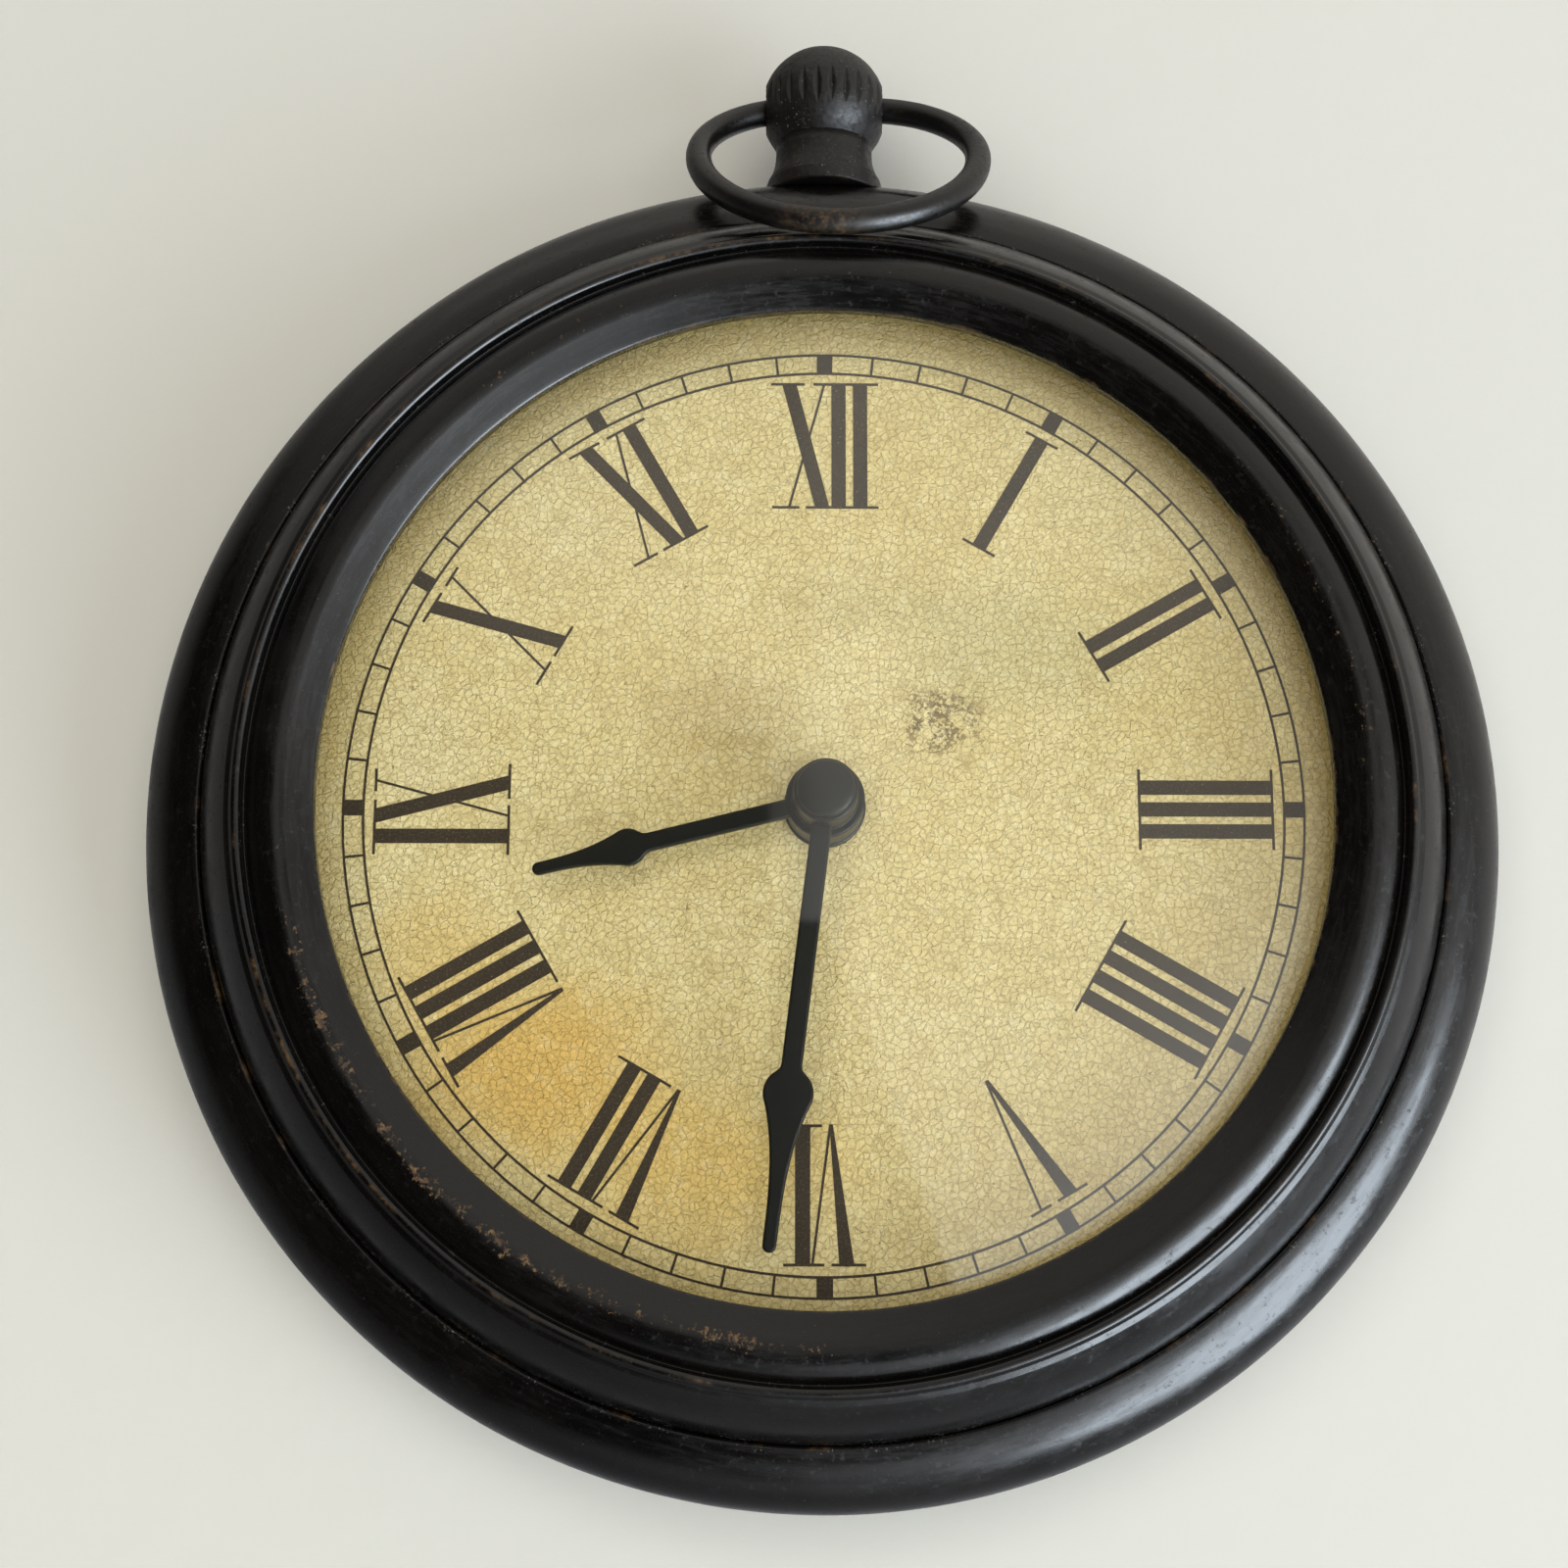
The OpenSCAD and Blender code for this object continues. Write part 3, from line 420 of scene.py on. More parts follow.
def case_wear(s):
    r = s.radius()
    lip = s.mul(s.band(r, 73.7, 0.5), s.ramp(s.noise(5, 3, w=5), 0.54, 0.68, 0.0, 0.4))
    scuff = s.ramp(s.noise(16, 5, 0.8, w=6), 0.70, 0.80, 0.0, 0.35)
    return s.high(lip, s.mul(scuff, s.ramp(r, 74, 78)))


def case_dust(s):
    r = s.radius()
    patches = s.ramp(s.noise(4, 3, w=12), 0.45, 0.65)
    crease = s.mul(s.band(r, 74.0, 0.75), s.ramp(s.noise(0.3, 2, w=8), 0.58, 0.70))
    return s.mul(crease, s.mul(patches, 0.35))


def cast_wear(s):
    """Brown on the crown and neck where fingers rub."""
    return s.ramp(s.noise(4.5, 5, 0.75, w=3), 0.62, 0.76, 0.0, 0.75)


def cast_dust(s):
    return s.mul(s.ramp(s.noise(0.28, 2, 0.6, w=5), 0.64, 0.72),
                 s.ramp(s.noise(3, 3, w=6), 0.42, 0.6, 0.0, 0.7))


def bow_wear(s):
    """Rubbed through where the bow knocks against the case, at its lowest point."""
    low = s.ramp(s.z, 73.6, 70.0)
    centre = s.ramp(s.math("ABSOLUTE", s.add(s.x, 0.5)), 1.0, 7.0, 1, 0)
    speck = s.ramp(s.noise(0.8, 4, 0.75, w=3), 0.4, 0.6)
    return s.high(s.mul(s.mul(low, centre), s.mul(speck, 0.45)), s.mul(cast_wear(s), 0.25))


MAT_CASE = paint("case_paint", case_wear, case_dust, spun=True)
MAT_BEZEL = paint("bezel_paint", bezel_wear, bezel_dust, spun=True)
MAT_CAST = paint("cast_paint", cast_wear, cast_dust, rough=0.45, tone=(0.0034, 0.0030, 0.0027))
MAT_BOW = paint("bow_paint", bow_wear, None, rough=0.34, tone=(0.0026, 0.0023, 0.0020))


# ---------------------------------------------------------------- case and bezel

def case_shell():
    """Half-round rim with its lip in front, and the drum with its ledge for the back cover."""
    tuck = math.radians(50)
    ro, ri = RIM_R, RIM_R - SHEET
    to = (RIM_C + ro * math.cos(tuck), RIM_Z - ro * math.sin(tuck))
    drum_i = DRUM_R - SHEET
    outer = arc(RIM_C, RIM_Z, ro, 84.5, -50, 64)
    inner = arc(RIM_C, RIM_Z, ri, -50, 77.16, 24)
    lip = [(LIP_R, SEAT_Z), (LIP_R, 22.6), (LIP_R + 0.03, 23.05), (LIP_R + 0.16, 23.27)]
    neck_in = [(to[0] - 0.35, to[1] - 0.2), (DRUM_R + 0.35, 7.3), (DRUM_R + 0.06, 6.9), (DRUM_R, 6.4)]
    drum = [(DRUM_R, 0.3), (DRUM_R - 0.09, 0.09), (DRUM_R - 0.3, 0.0),
            (drum_i + 0.25, 0.0), (drum_i, 0.25)]
    back = BACK_LEDGE_R
    flange = [(drum_i, 1.2), (back + 0.3, 1.2), (back, 1.5), (back, 2.1), (back + 0.3, 2.4),
              (drum_i, 2.4), (drum_i, 7.485)]
    front = DIAL_LEDGE_R
    seat = [(LIP_R + SHEET, SEAT_Z - SHEET), (front + 0.2, SEAT_Z - SHEET), (front, SEAT_Z - 1.0),
            (front, SEAT_Z - 0.2), (front + 0.2, SEAT_Z)]
    loop = lip + outer + neck_in + drum + flange + inner + seat

    def uneven(r, a, z):
        if r < 74.2:
            return r, z
        k = ripple(r, a, z, 26, 0.05) + ripple(r, a, z, 7, 0.012, 9)
        d = math.hypot(r - RIM_C, z - RIM_Z) or 1
        return r + k * (r - RIM_C) / d - 0.03, z + k * (z - RIM_Z) / d * (z > 9)
    return lathe(loop, 480, dial_axis, uneven)


def bezel():
    """Convex flank, bead, groove, broad roll, and the slope down to the opening."""
    t = BEZEL_SHEET
    foot, top = Vector((LIP_R, 22.6)), Vector((68.4, 31.8))
    d = top - foot
    apart = math.sqrt(FLANK_BEND ** 2 - d.length_squared / 4)
    centre = (foot + top) / 2 + apart * Vector((-d.y, d.x)) / d.length
    a0 = math.degrees(math.atan2(foot.y - centre.y, foot.x - centre.x))
    a1 = math.degrees(math.atan2(top.y - centre.y, top.x - centre.x))
    outer = ([(LIP_R, SEAT_Z), (LIP_R, 21.0)]
             + arc(centre.x, centre.y, FLANK_BEND, a0, a1 - 2.4, 40)
             # the flank turns up into the bead with a small cove
             + [(68.42, 31.58)]
             + arc(67.55, 31.8, BEAD_R, -4, 180, 20)
             + [(66.93, 31.35), (66.84, 31.05), (66.74, 30.93), (66.66, 30.98)]
             + arc(63.3, 28.8, 4.0, 33, 113, 40)
             + [(60.9, 32.08), (60.1, 31.74), (59.3, 31.4)]
             + arc(59.12, 30.86, 0.42, 113, 180, 6)
             + [(58.7, 29.8)])
    inner = (arc(centre.x, centre.y, FLANK_BEND - t, a0, a1 - 4, 20)
             + [(66.6, 29.6), (65.5, 30.2), (64.4, 31.2), (63.2, 31.5), (61.7, 31.2)]
             + [(59.8, 30.35), (59.8, 29.8)])
    loop = outer + inner[::-1] + [(LIP_R - t, SEAT_Z)]

    def uneven(r, a, z):
        k = ripple(r, a, z, 22, 0.035, 3) + ripple(r, a, z, 5, 0.010, 5)
        return r, z + k * (z > 24) * (r > 59) - 0.02 * (z > 24)
    return lathe(loop, 600, dial_axis, uneven)


piece("case_body", [case_shell()], "case", MAT_CASE, "case_shell")
piece("bezel_ring", [bezel()], "case", MAT_BEZEL, "bezel")


# ---------------------------------------------------------------- crown, neck, bow

CROWN_R, GROOVES, GROOVE_ROOT, EASE = 8.05, 27, 7.66, 0.12
HOLE_R, HOLE_FLARE_X, HOLE_FLARE, HOLE_SLOPE = 1.92, 4.4, 0.348, 2.875


def crown():
    """Ball with a knurl of V grooves round its middle and a flared cross hole for the bow."""
    profile = [(0, PIVOT_Z + CROWN_R * math.sin(math.radians(-42)))]
    profile += [(CROWN_R * math.cos(math.radians(a)), PIVOT_Z + CROWN_R * math.sin(math.radians(a)))
                for a in np.linspace(-42, 58, 170)]
    profile += [(3.4, PIVOT_Z + 7.13), (2.4, PIVOT_Z + 7.27), (1.2, PIVOT_Z + 7.33), (0, PIVOT_Z + 7.35)]

    def shape(r, a, z):
        h = z - PIVOT_Z
        turn = (a / TAU * GROOVES) % 1 - 0.5
        wander = 0.1 * noise.noise(Vector((math.sin(a) * 3, math.cos(a) * 3, h * 0.6)))
        groove = GROOVE_ROOT + wander + 0.72 * abs(turn) * TAU * CROWN_R / GROOVES
        # the groove's edges are eased over a tenth of a millimetre
        over = max(0.0, EASE - (groove - r + EASE / 2))
        blunt = min(r, groove) if groove < r - EASE / 2 else r - 0.5 * over ** 2 / EASE
        pit = ripple(r, a, z, 0.7, 0.035, 2) + ripple(r, a, z, 2.5, 0.05, 4)
        new = (blunt if h < 2.6 else r) + pit * (0.4 if h > 2 else 1) - 0.04
        x, y = new * math.sin(a), new * math.cos(a)
        d = math.hypot(y, h)
        mouth = HOLE_R + (abs(x) - HOLE_FLARE_X) * HOLE_FLARE
        if abs(x) > HOLE_FLARE_X and d < mouth:
            x = math.copysign(max(3.4, HOLE_FLARE_X + (d - HOLE_R) * HOLE_SLOPE), x)
            return math.hypot(x, y), z, math.atan2(x, y)
        return new, z, a
    return lathe(profile, GROOVES * 16, pendant_axis, shape, loop=False)


def rim_top(x, depth):
    """Height of the half-round rim's surface under a point beside the crown's axis."""
    return math.sqrt((RIM_C + math.sqrt(max(0.0, RIM_R ** 2 - depth ** 2))) ** 2 - x ** 2)


def neck():
    """Flared neck with a lipped foot that's hollowed out over the rim."""
    cove = arc(13.09, 86, 6.94, 213, 180, 24)
    loop = ([(2.2, 80.1), (4.6, 80.1), (5.8, 80.1), (6.8, 80.1)] + arc(7.05, 80.4, 0.3, -90, 0, 6)
            + [(7.35, z) for z in (80.8, 81.2, 81.5, 81.75)]
            + [(7.33, 81.93), (7.24, 82.05), (7.19, 82.2)]
            + cove[1:] + [(6.15, 87.2), (2.2, 87.2)])

    def pits(r, a, z):
        if r < 3:
            return r, max(z, rim_top(r * math.sin(a), r * math.cos(a)) + 0.02)
        r += ripple(r, a, z, 0.8, 0.04, 2) + ripple(r, a, z, 2.6, 0.06, 6) - 0.03
        return r, max(z, rim_top(r * math.sin(a), r * math.cos(a)) + 0.02) if z < 82.1 else z
    return lathe(loop, 360, pendant_axis, pits)


def bow():
    """Closed ring of round wire: half a circle below, two tighter quarters, a straight run above."""
    low_r, shoulder_r, wire = 17.4, 13.1, 1.62
    run = low_r - shoulder_r
    path = [(low_r * math.cos(t), -shoulder_r + low_r * math.sin(t))
            for t in np.linspace(math.pi, TAU, 121)]
    path += [(run + shoulder_r * math.cos(t), -shoulder_r + shoulder_r * math.sin(t))
             for t in np.linspace(0, math.pi / 2, 49)[1:]]
    path += [(x, 0.0) for x in np.linspace(run, -run, 16)[1:-1]]
    path += [(-run + shoulder_r * math.cos(t), -shoulder_r + shoulder_r * math.sin(t))
             for t in np.linspace(math.pi / 2, math.pi, 49)[:-1]]
    sides, verts, faces = 32, [], []
    n = len(path)
    pts = np.array(path)
    tangent = np.roll(pts, -1, 0) - np.roll(pts, 1, 0)
    tangent /= np.linalg.norm(tangent, axis=1)[:, None]
    side = np.stack([tangent[:, 1], -tangent[:, 0]], 1)
    sin_l, cos_l = math.sin(BOW_LEAN), math.cos(BOW_LEAN)
    for i, (x, y) in enumerate(path):
        for k in range(sides):
            t = TAU * k / sides
            w = wire - 0.012 + 0.012 * noise.noise(Vector((x, y, k * 0.2)) / 2.2)
            px = x + side[i][0] * w * math.cos(t)
            py = y + side[i][1] * w * math.cos(t)
            pz = w * math.sin(t)
            verts.append(((BOW_SHIFT + px) * MM,
                          (-RIM_Z + py * sin_l - pz * cos_l) * MM,
                          (PIVOT_Z + py * cos_l + pz * sin_l) * MM))
    for i in range(n):
        j = (i + 1) % n
        for k in range(sides):
            m = (k + 1) % sides
            faces.append((i * sides + k, i * sides + m, j * sides + m, j * sides + k))
    return verts, outward(verts, faces)


piece("crown_ball", [crown()], "case", MAT_CAST, "crown", weighted=False)
piece("crown_neck", [neck()], "case", MAT_CAST, "pendant_neck")
piece("bow_ring", [bow()], "bow", MAT_BOW, "bow", weighted=False)


# ---------------------------------------------------------------- hands

def spade(bar_w, bulb_r, bulb_y, tip_r, length, power):
    """Outline of a spade hand pointing along +y."""
    half = bar_w / 2
    tip_y = length - tip_r
    a_bar = math.asin(half / bulb_r)
    right = [(half, 0.0), (half, (bulb_y - bulb_r * math.cos(a_bar)) * 0.5),
             (half, bulb_y - bulb_r * math.cos(a_bar) - 0.6)]
    right += [(half + 0.12, bulb_y - bulb_r * math.cos(a_bar) - 0.1)]
    right += [(bulb_r * math.cos(t), bulb_y + bulb_r * math.sin(t))
              for t in np.linspace(-math.pi / 2 + a_bar + 0.22, math.radians(25), 12)]
    start, w0 = bulb_y + bulb_r * 0.42, bulb_r * 0.9
    right += [(tip_r + (w0 - tip_r) * (1 - t) ** power, start + (tip_y - start) * t)
              for t in np.linspace(0.04, 1, 22)]
    right += [(tip_r * math.cos(t), tip_y + tip_r * math.sin(t))
              for t in np.linspace(0.2, math.pi / 2 - 0.15, 5)]
    return right + [(-x, y) for x, y in reversed(right)]


def hub(ri, ro, z0, z1, flare):
    """Tube with a slightly wider foot."""
    loop = rounded([(ri, z0), (ro + flare, z0, 0.25), (ro + flare, z0 + 0.5, 0.15), (ro, z0 + 0.75, 0.15),
                    (ro, z1, 0.3), (ri, z1)], 5)
    return lathe(loop, 128, dial_axis)


def ragged(r, a, z):
    """The hour boss's lower edge has a little moulding flash."""
    if z < 21.3 and r > 4:
        return r + 0.10 * abs(noise.noise(Vector((math.cos(a) * 4, math.sin(a) * 4, 0.3)))), z
    return r, z


def hand_plastic():
    """Satin black with a few specks of dust."""
    s = Shader("hand_plastic")
    grain = s.noise(0.22, 3, 0.6)
    speck = s.mul(s.ramp(s.cells(0.9), 0.07, 0.03), s.ramp(s.noise(4, 2, w=3), 0.6, 0.7))
    colour = s.mix(s.mul(speck, 0.5), (0.0055, 0.0057, 0.0052), (0.3, 0.3, 0.28))
    return s.done(s.principled(Base_Color=colour, Roughness=s.ramp(grain, 0.3, 0.7, 0.34, 0.46),
                               Normal=s.bump(grain, 0.3, 0.015)))


MAT_HAND = hand_plastic()
HAND_EDGE = 0.32
boss = lathe(rounded([(2.6, 20.9), (4.85, 20.9, 0.1), (4.85, 21.25, 0.08), (4.65, 21.4, 0.08),
                      (4.65, 26.13, 0.3), (2.6, 26.13)], 5), 160, dial_axis, ragged)
hour_outline = spade(bar_w=2.2, bulb_r=2.2, bulb_y=23.7, tip_r=0.75, length=35.1, power=2.6)
minute_outline = spade(bar_w=2.4, bulb_r=2.9, bulb_y=34.8, tip_r=0.8, length=52.7, power=3.0)
piece("hour_spade", [plate(hour_outline, 24.8, 26.0, HAND_EDGE, HOUR_ANGLE), boss],
      "hour", MAT_HAND, "hour_hand")
piece("minute_spade", [plate(minute_outline, 27.3, 28.5, HAND_EDGE, MINUTE_ANGLE),
                       hub(1.58, 3.75, 26.4, 31.19, flare=0.25)],
      "minute", MAT_HAND, "minute_hand")
cap_profile = [(0, 31.2)] + arc(3.05, 31.5, 0.3, -90, 0, 4) + arc(2.95, 31.85, 0.4, 0, 62, 6)
cap_profile += [(r, 32.6 - (r / 3.35) ** 2 * 0.38) for r in (2.8, 2.3, 1.7, 1.1, 0.5)] + [(0, 32.6)]
piece("centre_cap", [lathe(cap_profile, 128, dial_axis, loop=False)], "minute", MAT_HAND, "hand_cap")


# ---------------------------------------------------------------- dial

def spread(s, x, z, rx=1.0, rz=1.0):
    """Distance from the point (x, z) of the dial, with rx and rz as the unit in each direction."""
    dx = s.mul(s.sub(s.x, x), 1 / rx)
    dz = s.mul(s.sub(s.z, z), 1 / rz)
    return s.math("SQRT", s.add(s.mul(dx, dx), s.mul(dz, dz)))


# each stain: centre x and z, radii, colour, strength, seed
STAINS = [
    (-34, -31, 22, 15, (0.84, 0.52, 0.12), 0.85, 11),
    (-45, -18, 12, 12, (0.86, 0.60, 0.19), 0.55, 12),
    (-14, -42, 24, 13, (0.86, 0.59, 0.17), 0.75, 13),
    (-12, 12, 14, 9, (0.60, 0.46, 0.22), 0.42, 14),
    (4, 26, 16, 8, (0.62, 0.54, 0.27), 0.38, 15),
    (24, 20, 20, 12, (0.60, 0.57, 0.31), 0.48, 16),
    (10, -30, 24, 14, (0.90, 0.78, 0.46), 0.40, 17),
    (-30, 36, 16, 12, (0.92, 0.82, 0.50), 0.45, 18),
    (-48, 6, 9, 18, (0.93, 0.85, 0.55), 0.45, 19),
    (-26, -8, 16, 10, (0.82, 0.66, 0.32), 0.40, 20),
]


def paper_colour(s):
    """Aged paper: gold-beige, with browner stains at the lower left and greenish ones at the upper
    right."""
    r = s.radius()
    soft = s.noise(22, 4, 0.55)
    mid = s.noise(5, 4, 0.6, w=2)
    colour = s.mix(s.ramp(soft, 0.3, 0.7), (0.86, 0.72, 0.35), (0.94, 0.83, 0.47))
    colour = s.mix(s.ramp(mid, 0.35, 0.7, 0.0, 0.30), colour, (0.76, 0.60, 0.27))

    for x, z, rx, rz, tint, strength, seed in STAINS:
        ragged_edge = s.mul(s.sub(s.noise(9, 4, 0.65, w=seed), 0.5), 0.9)
        fac = s.ramp(s.add(spread(s, x, z, rx, rz), ragged_edge), 0.2, 1.0, strength, 0.0)
        colour = s.mix(fac, colour, tint)
    # the golden outer band, outside the printed track
    rim = s.mul(s.ramp(r, 56.5, 60.5), s.ramp(s.noise(12, 3, w=3), 0.2, 0.8, 0.6, 1.0))
    colour = s.mix(s.mul(rim, 0.7), colour, (0.78, 0.56, 0.19))
    # foxing specks, dense in two patches
    fleck = s.ramp(s.noise(0.42, 3, 0.65, w=21), 0.635, 0.69)
    near = s.ramp(spread(s, 13.4, 10.8, 1.0, 1 / math.sqrt(1.5)), 2.0, 9.5, 1.0, 0.0)
    near = s.mul(near, s.ramp(s.add(s.noise(2.6, 4, 0.8, w=31), s.mul(near, 0.10)), 0.53, 0.60))
    cluster = s.mul(s.ramp(s.noise(0.45, 2, 0.5, w=25), 0.44, 0.52), near)
    above = s.mul(fleck, s.ramp(spread(s, 0.0, 18.0), 2, 13, 0.5, 0.0))
    wide = s.ramp(s.noise(0.7, 3, 0.7, w=22), 0.63, 0.70, 0.0, 0.75)
    specks = s.high(above, s.high(cluster, wide))
    colour = s.mix(s.mul(specks, 0.9), colour, (0.13, 0.085, 0.04))
    # fibres and mottling of the paper itself
    patchy = s.noise(2.2, 4, 0.7, w=26)
    colour = s.mix(s.ramp(patchy, 0.35, 0.55, 0.26, 0.0), colour, (0.55, 0.42, 0.17))
    colour = s.mix(s.ramp(patchy, 0.50, 0.70, 0.0, 0.28), colour, (0.97, 0.91, 0.66))
    grit = s.noise(0.38, 3, 0.7, w=24)
    colour = s.mix(s.ramp(grit, 0.36, 0.62, 0.34, 0.0), colour, (0.42, 0.31, 0.13))
    colour = s.mix(s.ramp(grit, 0.55, 0.75, 0.0, 0.30), colour, (0.97, 0.92, 0.70))
    return colour


def paper():
    """The stained paper with fine wrinkles and fibres in its surface, and painted shade along the
    wrinkles' creases.
    """
    s = Shader("dial_paper")
    colour = paper_colour(s)
    bent = s.vec("ADD", s.pos, s.vec("SCALE", s.noise(0.8, 2), scale=0.9))
    wrinkle = s.cells(0.95, at=bent, feature="DISTANCE_TO_EDGE")
    crease = s.ramp(wrinkle, 0.0, 0.12)
    fibre = s.ramp(s.noise(0.45, 3, 0.7, w=4), 0.3, 0.7)
    # painted shade: the paper is darker along the wrinkles' creases, where the bump sinks into grooves
    colour = s.mix(s.ramp(crease, 0.0, 1.0, 0.24, 0.0), colour, (0.36, 0.27, 0.12))
    n = s.bump(crease, 0.9, 0.09)
    n = s.bump(fibre, 1.0, 0.09, n)
    n = s.bump(s.noise(3, 3, 0.6, w=5), 0.5, 0.2, n)
    return s.done(s.principled(Base_Color=colour, Roughness=0.62, Normal=n, Specular_IOR_Level=0.35))


def ink():
    """Brown-black printing, worn through in fine specks so that the paper shows."""
    s = Shader("dial_ink")
    speck = s.noise(0.26, 3, 0.7)
    patch = s.noise(7, 3, w=2)
    colour = s.mix(patch, (0.030, 0.022, 0.015), (0.055, 0.042, 0.030))
    colour = s.mix(s.ramp(speck, 0.5, 0.62, 0.0, 0.55), colour, (0.13, 0.10, 0.065))
    holes = s.ramp(s.add(speck, s.mul(s.sub(patch, 0.5), 0.16)), 0.63, 0.67)
    solid = s.principled(Base_Color=colour, Roughness=0.6, Specular_IOR_Level=0.3)
    clear = s.node("ShaderNodeBsdfTransparent").outputs[0]
    return s.done(s.blend(holes, solid, clear))


def paper_disc():
    """The printed face: a disc that dips by a few hundredths of a millimetre, with a centre hole."""
    radii = [4.75, 4.78] + list(np.linspace(5.1, 69.4, 170)) + [69.85]
    segments = 360
    verts, faces, rows = [], [], []

    def dip(x, y):
        p = Vector((x, y, 0.5))
        return -0.022 - 0.02 * noise.noise(p / 7) - 0.012 * noise.noise(p / 1.9)
    for r in radii:
        rows.append([len(verts) + k for k in range(segments)])
        for k in range(segments):
            a = TAU * k / segments
            x, y = r * math.sin(a), r * math.cos(a)
            verts.append((x * MM, -(DIAL_Z + min(-0.002, dip(x, y))) * MM, y * MM))
    for r in (69.9, 4.75):
        rows.append([len(verts) + k for k in range(segments)])
        verts += [dial_axis(r, TAU * k / segments, DIAL_Z - 0.2) for k in range(segments)]
    for low, high in zip(rows, rows[1:] + rows[:1]):
        for k in range(segments):
            m = (k + 1) % segments
            faces.append((low[k], low[m], high[m], high[k]))
    return verts, outward(verts, faces)


piece("dial_face", [paper_disc()], "case", paper(), "dial_paper", weighted=False)


# ---------------------------------------------------------------- glass

GLASS_IOR = 1.85


def glass():
    """Clear glass with a weak reflection that grows towards grazing angles."""
    s = Shader("clear_glass")
    # the same weak reflection on both faces of each surface, so that slanting light still gets in
    inside = s.node("ShaderNodeNewGeometry").outputs["Backfacing"]
    fresnel = s.node("ShaderNodeFresnel")
    s.link(s.ramp(inside, 0.0, 1.0, GLASS_IOR, 1 / GLASS_IOR), fresnel.inputs["IOR"])
    clear = s.node("ShaderNodeBsdfTransparent")
    clear.inputs["Color"].default_value = (0.985, 0.985, 0.965, 1)
    gloss = s.node("ShaderNodeBsdfGlossy")
    smear = s.noise(30, 4, 0.6)
    s.link(s.ramp(smear, 0.3, 0.7, 0.02, 0.05), gloss.inputs["Roughness"])
    return s.done(s.blend(fresnel.outputs[0], clear.outputs[0], gloss.outputs[0]))


def dome():
    """Both faces of the glass, each part of a large sphere."""
    def face(radius):
        return [(float(r), GLASS_TOP - GLASS_BEND + math.sqrt(radius ** 2 - r ** 2))
                for r in np.linspace(0, GLASS_R, 80)]
    return lathe(face(GLASS_BEND) + face(GLASS_BEND - GLASS_T)[::-1], 256, dial_axis, loop=False)


piece("domed_glass", [dome()], "case", glass(), "glass_lens", weighted=False)


# ---------------------------------------------------------------- finishes of the CAD nodes that stay

STEEL = metal("zinc_steel", (0.55, 0.54, 0.50), 0.34)
BRASS = metal("brass", (0.72, 0.52, 0.22), 0.28)
ACETAL = plastic("acetal", (0.72, 0.71, 0.67), 0.42)
BLACK = plastic("black_abs", (0.018, 0.018, 0.019), 0.45, grain=0.3, depth=0.05)


def cell_sleeve():
    """Foil sleeve of an AA cell: a copper-coloured end and a black body, with no print."""
    s = Shader("cell_sleeve")
    scuff = s.noise(0.8, 4, 0.7)
    colour = s.mix(s.ramp(s.x, 11.8, 12.2), (0.02, 0.02, 0.021), (0.62, 0.33, 0.13))
    colour = s.mix(s.ramp(s.x, 24.0, 24.2), colour, (0.6, 0.6, 0.58))
    colour = s.mix(s.ramp(scuff, 0.62, 0.72, 0.0, 0.5), colour, (0.3, 0.29, 0.27))
    return s.done(s.principled(Base_Color=colour, Metallic=0.6,
                               Roughness=s.ramp(scuff, 0.3, 0.7, 0.22, 0.42)))


def board():
    """Green solder resist with slightly lighter tracks."""
    s = Shader("circuit_board")
    tracks = s.ramp(s.math("PINGPONG", s.add(s.x, s.mul(s.noise(6, 0), 6)), 1.2), 0.5, 0.6)
    colour = s.mix(tracks, (0.02, 0.11, 0.04), (0.05, 0.22, 0.08))
    return s.done(s.principled(Base_Color=colour, Roughness=0.3))


FINISH = {
    "dial_print": ink(),
    "glass_gasket": plastic("gasket_rubber", (0.02, 0.02, 0.02), 0.6),
    "glass_retainer": plastic("retainer_plastic", (0.05, 0.042, 0.03), 0.5),
    "dial_plate": BLACK,
    "back_cover": paint("cover_paint", None, None, rough=0.4, tone=(0.02, 0.02, 0.02)),
    "battery_cell": cell_sleeve(),
    "circuit_board": board(),
    "chip_cover": plastic("resin", (0.01, 0.01, 0.01), 0.2),
    "coil_winding": metal("copper_wire", (0.62, 0.26, 0.12), 0.35, brushed=True),
    "coil_bobbin": plastic("bobbin_nylon", (0.6, 0.57, 0.45), 0.45),
    "rotor_magnet": plastic("ferrite", (0.05, 0.05, 0.055), 0.5),
    "hanger_plate": metal("hanger_steel", (0.55, 0.52, 0.42), 0.3, brushed=True),
    "movement_front_shell": BLACK,
    "movement_rear_shell": BLACK,
    "setting_knob": ACETAL,
}
for n in ("dial_screws", "back_cover_screws", "hanger_rivets", "pendant_stud", "pendant_washer",
          "movement_screws", "stator", "coil_core", "quartz_crystal", "positive_contact",
          "negative_contact"):
    FINISH[n] = STEEL
for n in ("pendant_nut", "centre_bushing", "minute_shaft"):
    FINISH[n] = BRASS
for n in ("minute_work_wheel", "hour_wheel", "centre_wheel", "third_wheel", "seconds_wheel",
          "intermediate_wheel", "rotor_pinion"):
    FINISH[n] = ACETAL
for name, material in FINISH.items():
    mesh = NODES[name].data
    mesh.materials.clear()
    mesh.materials.append(material)


# ---------------------------------------------------------------- stage

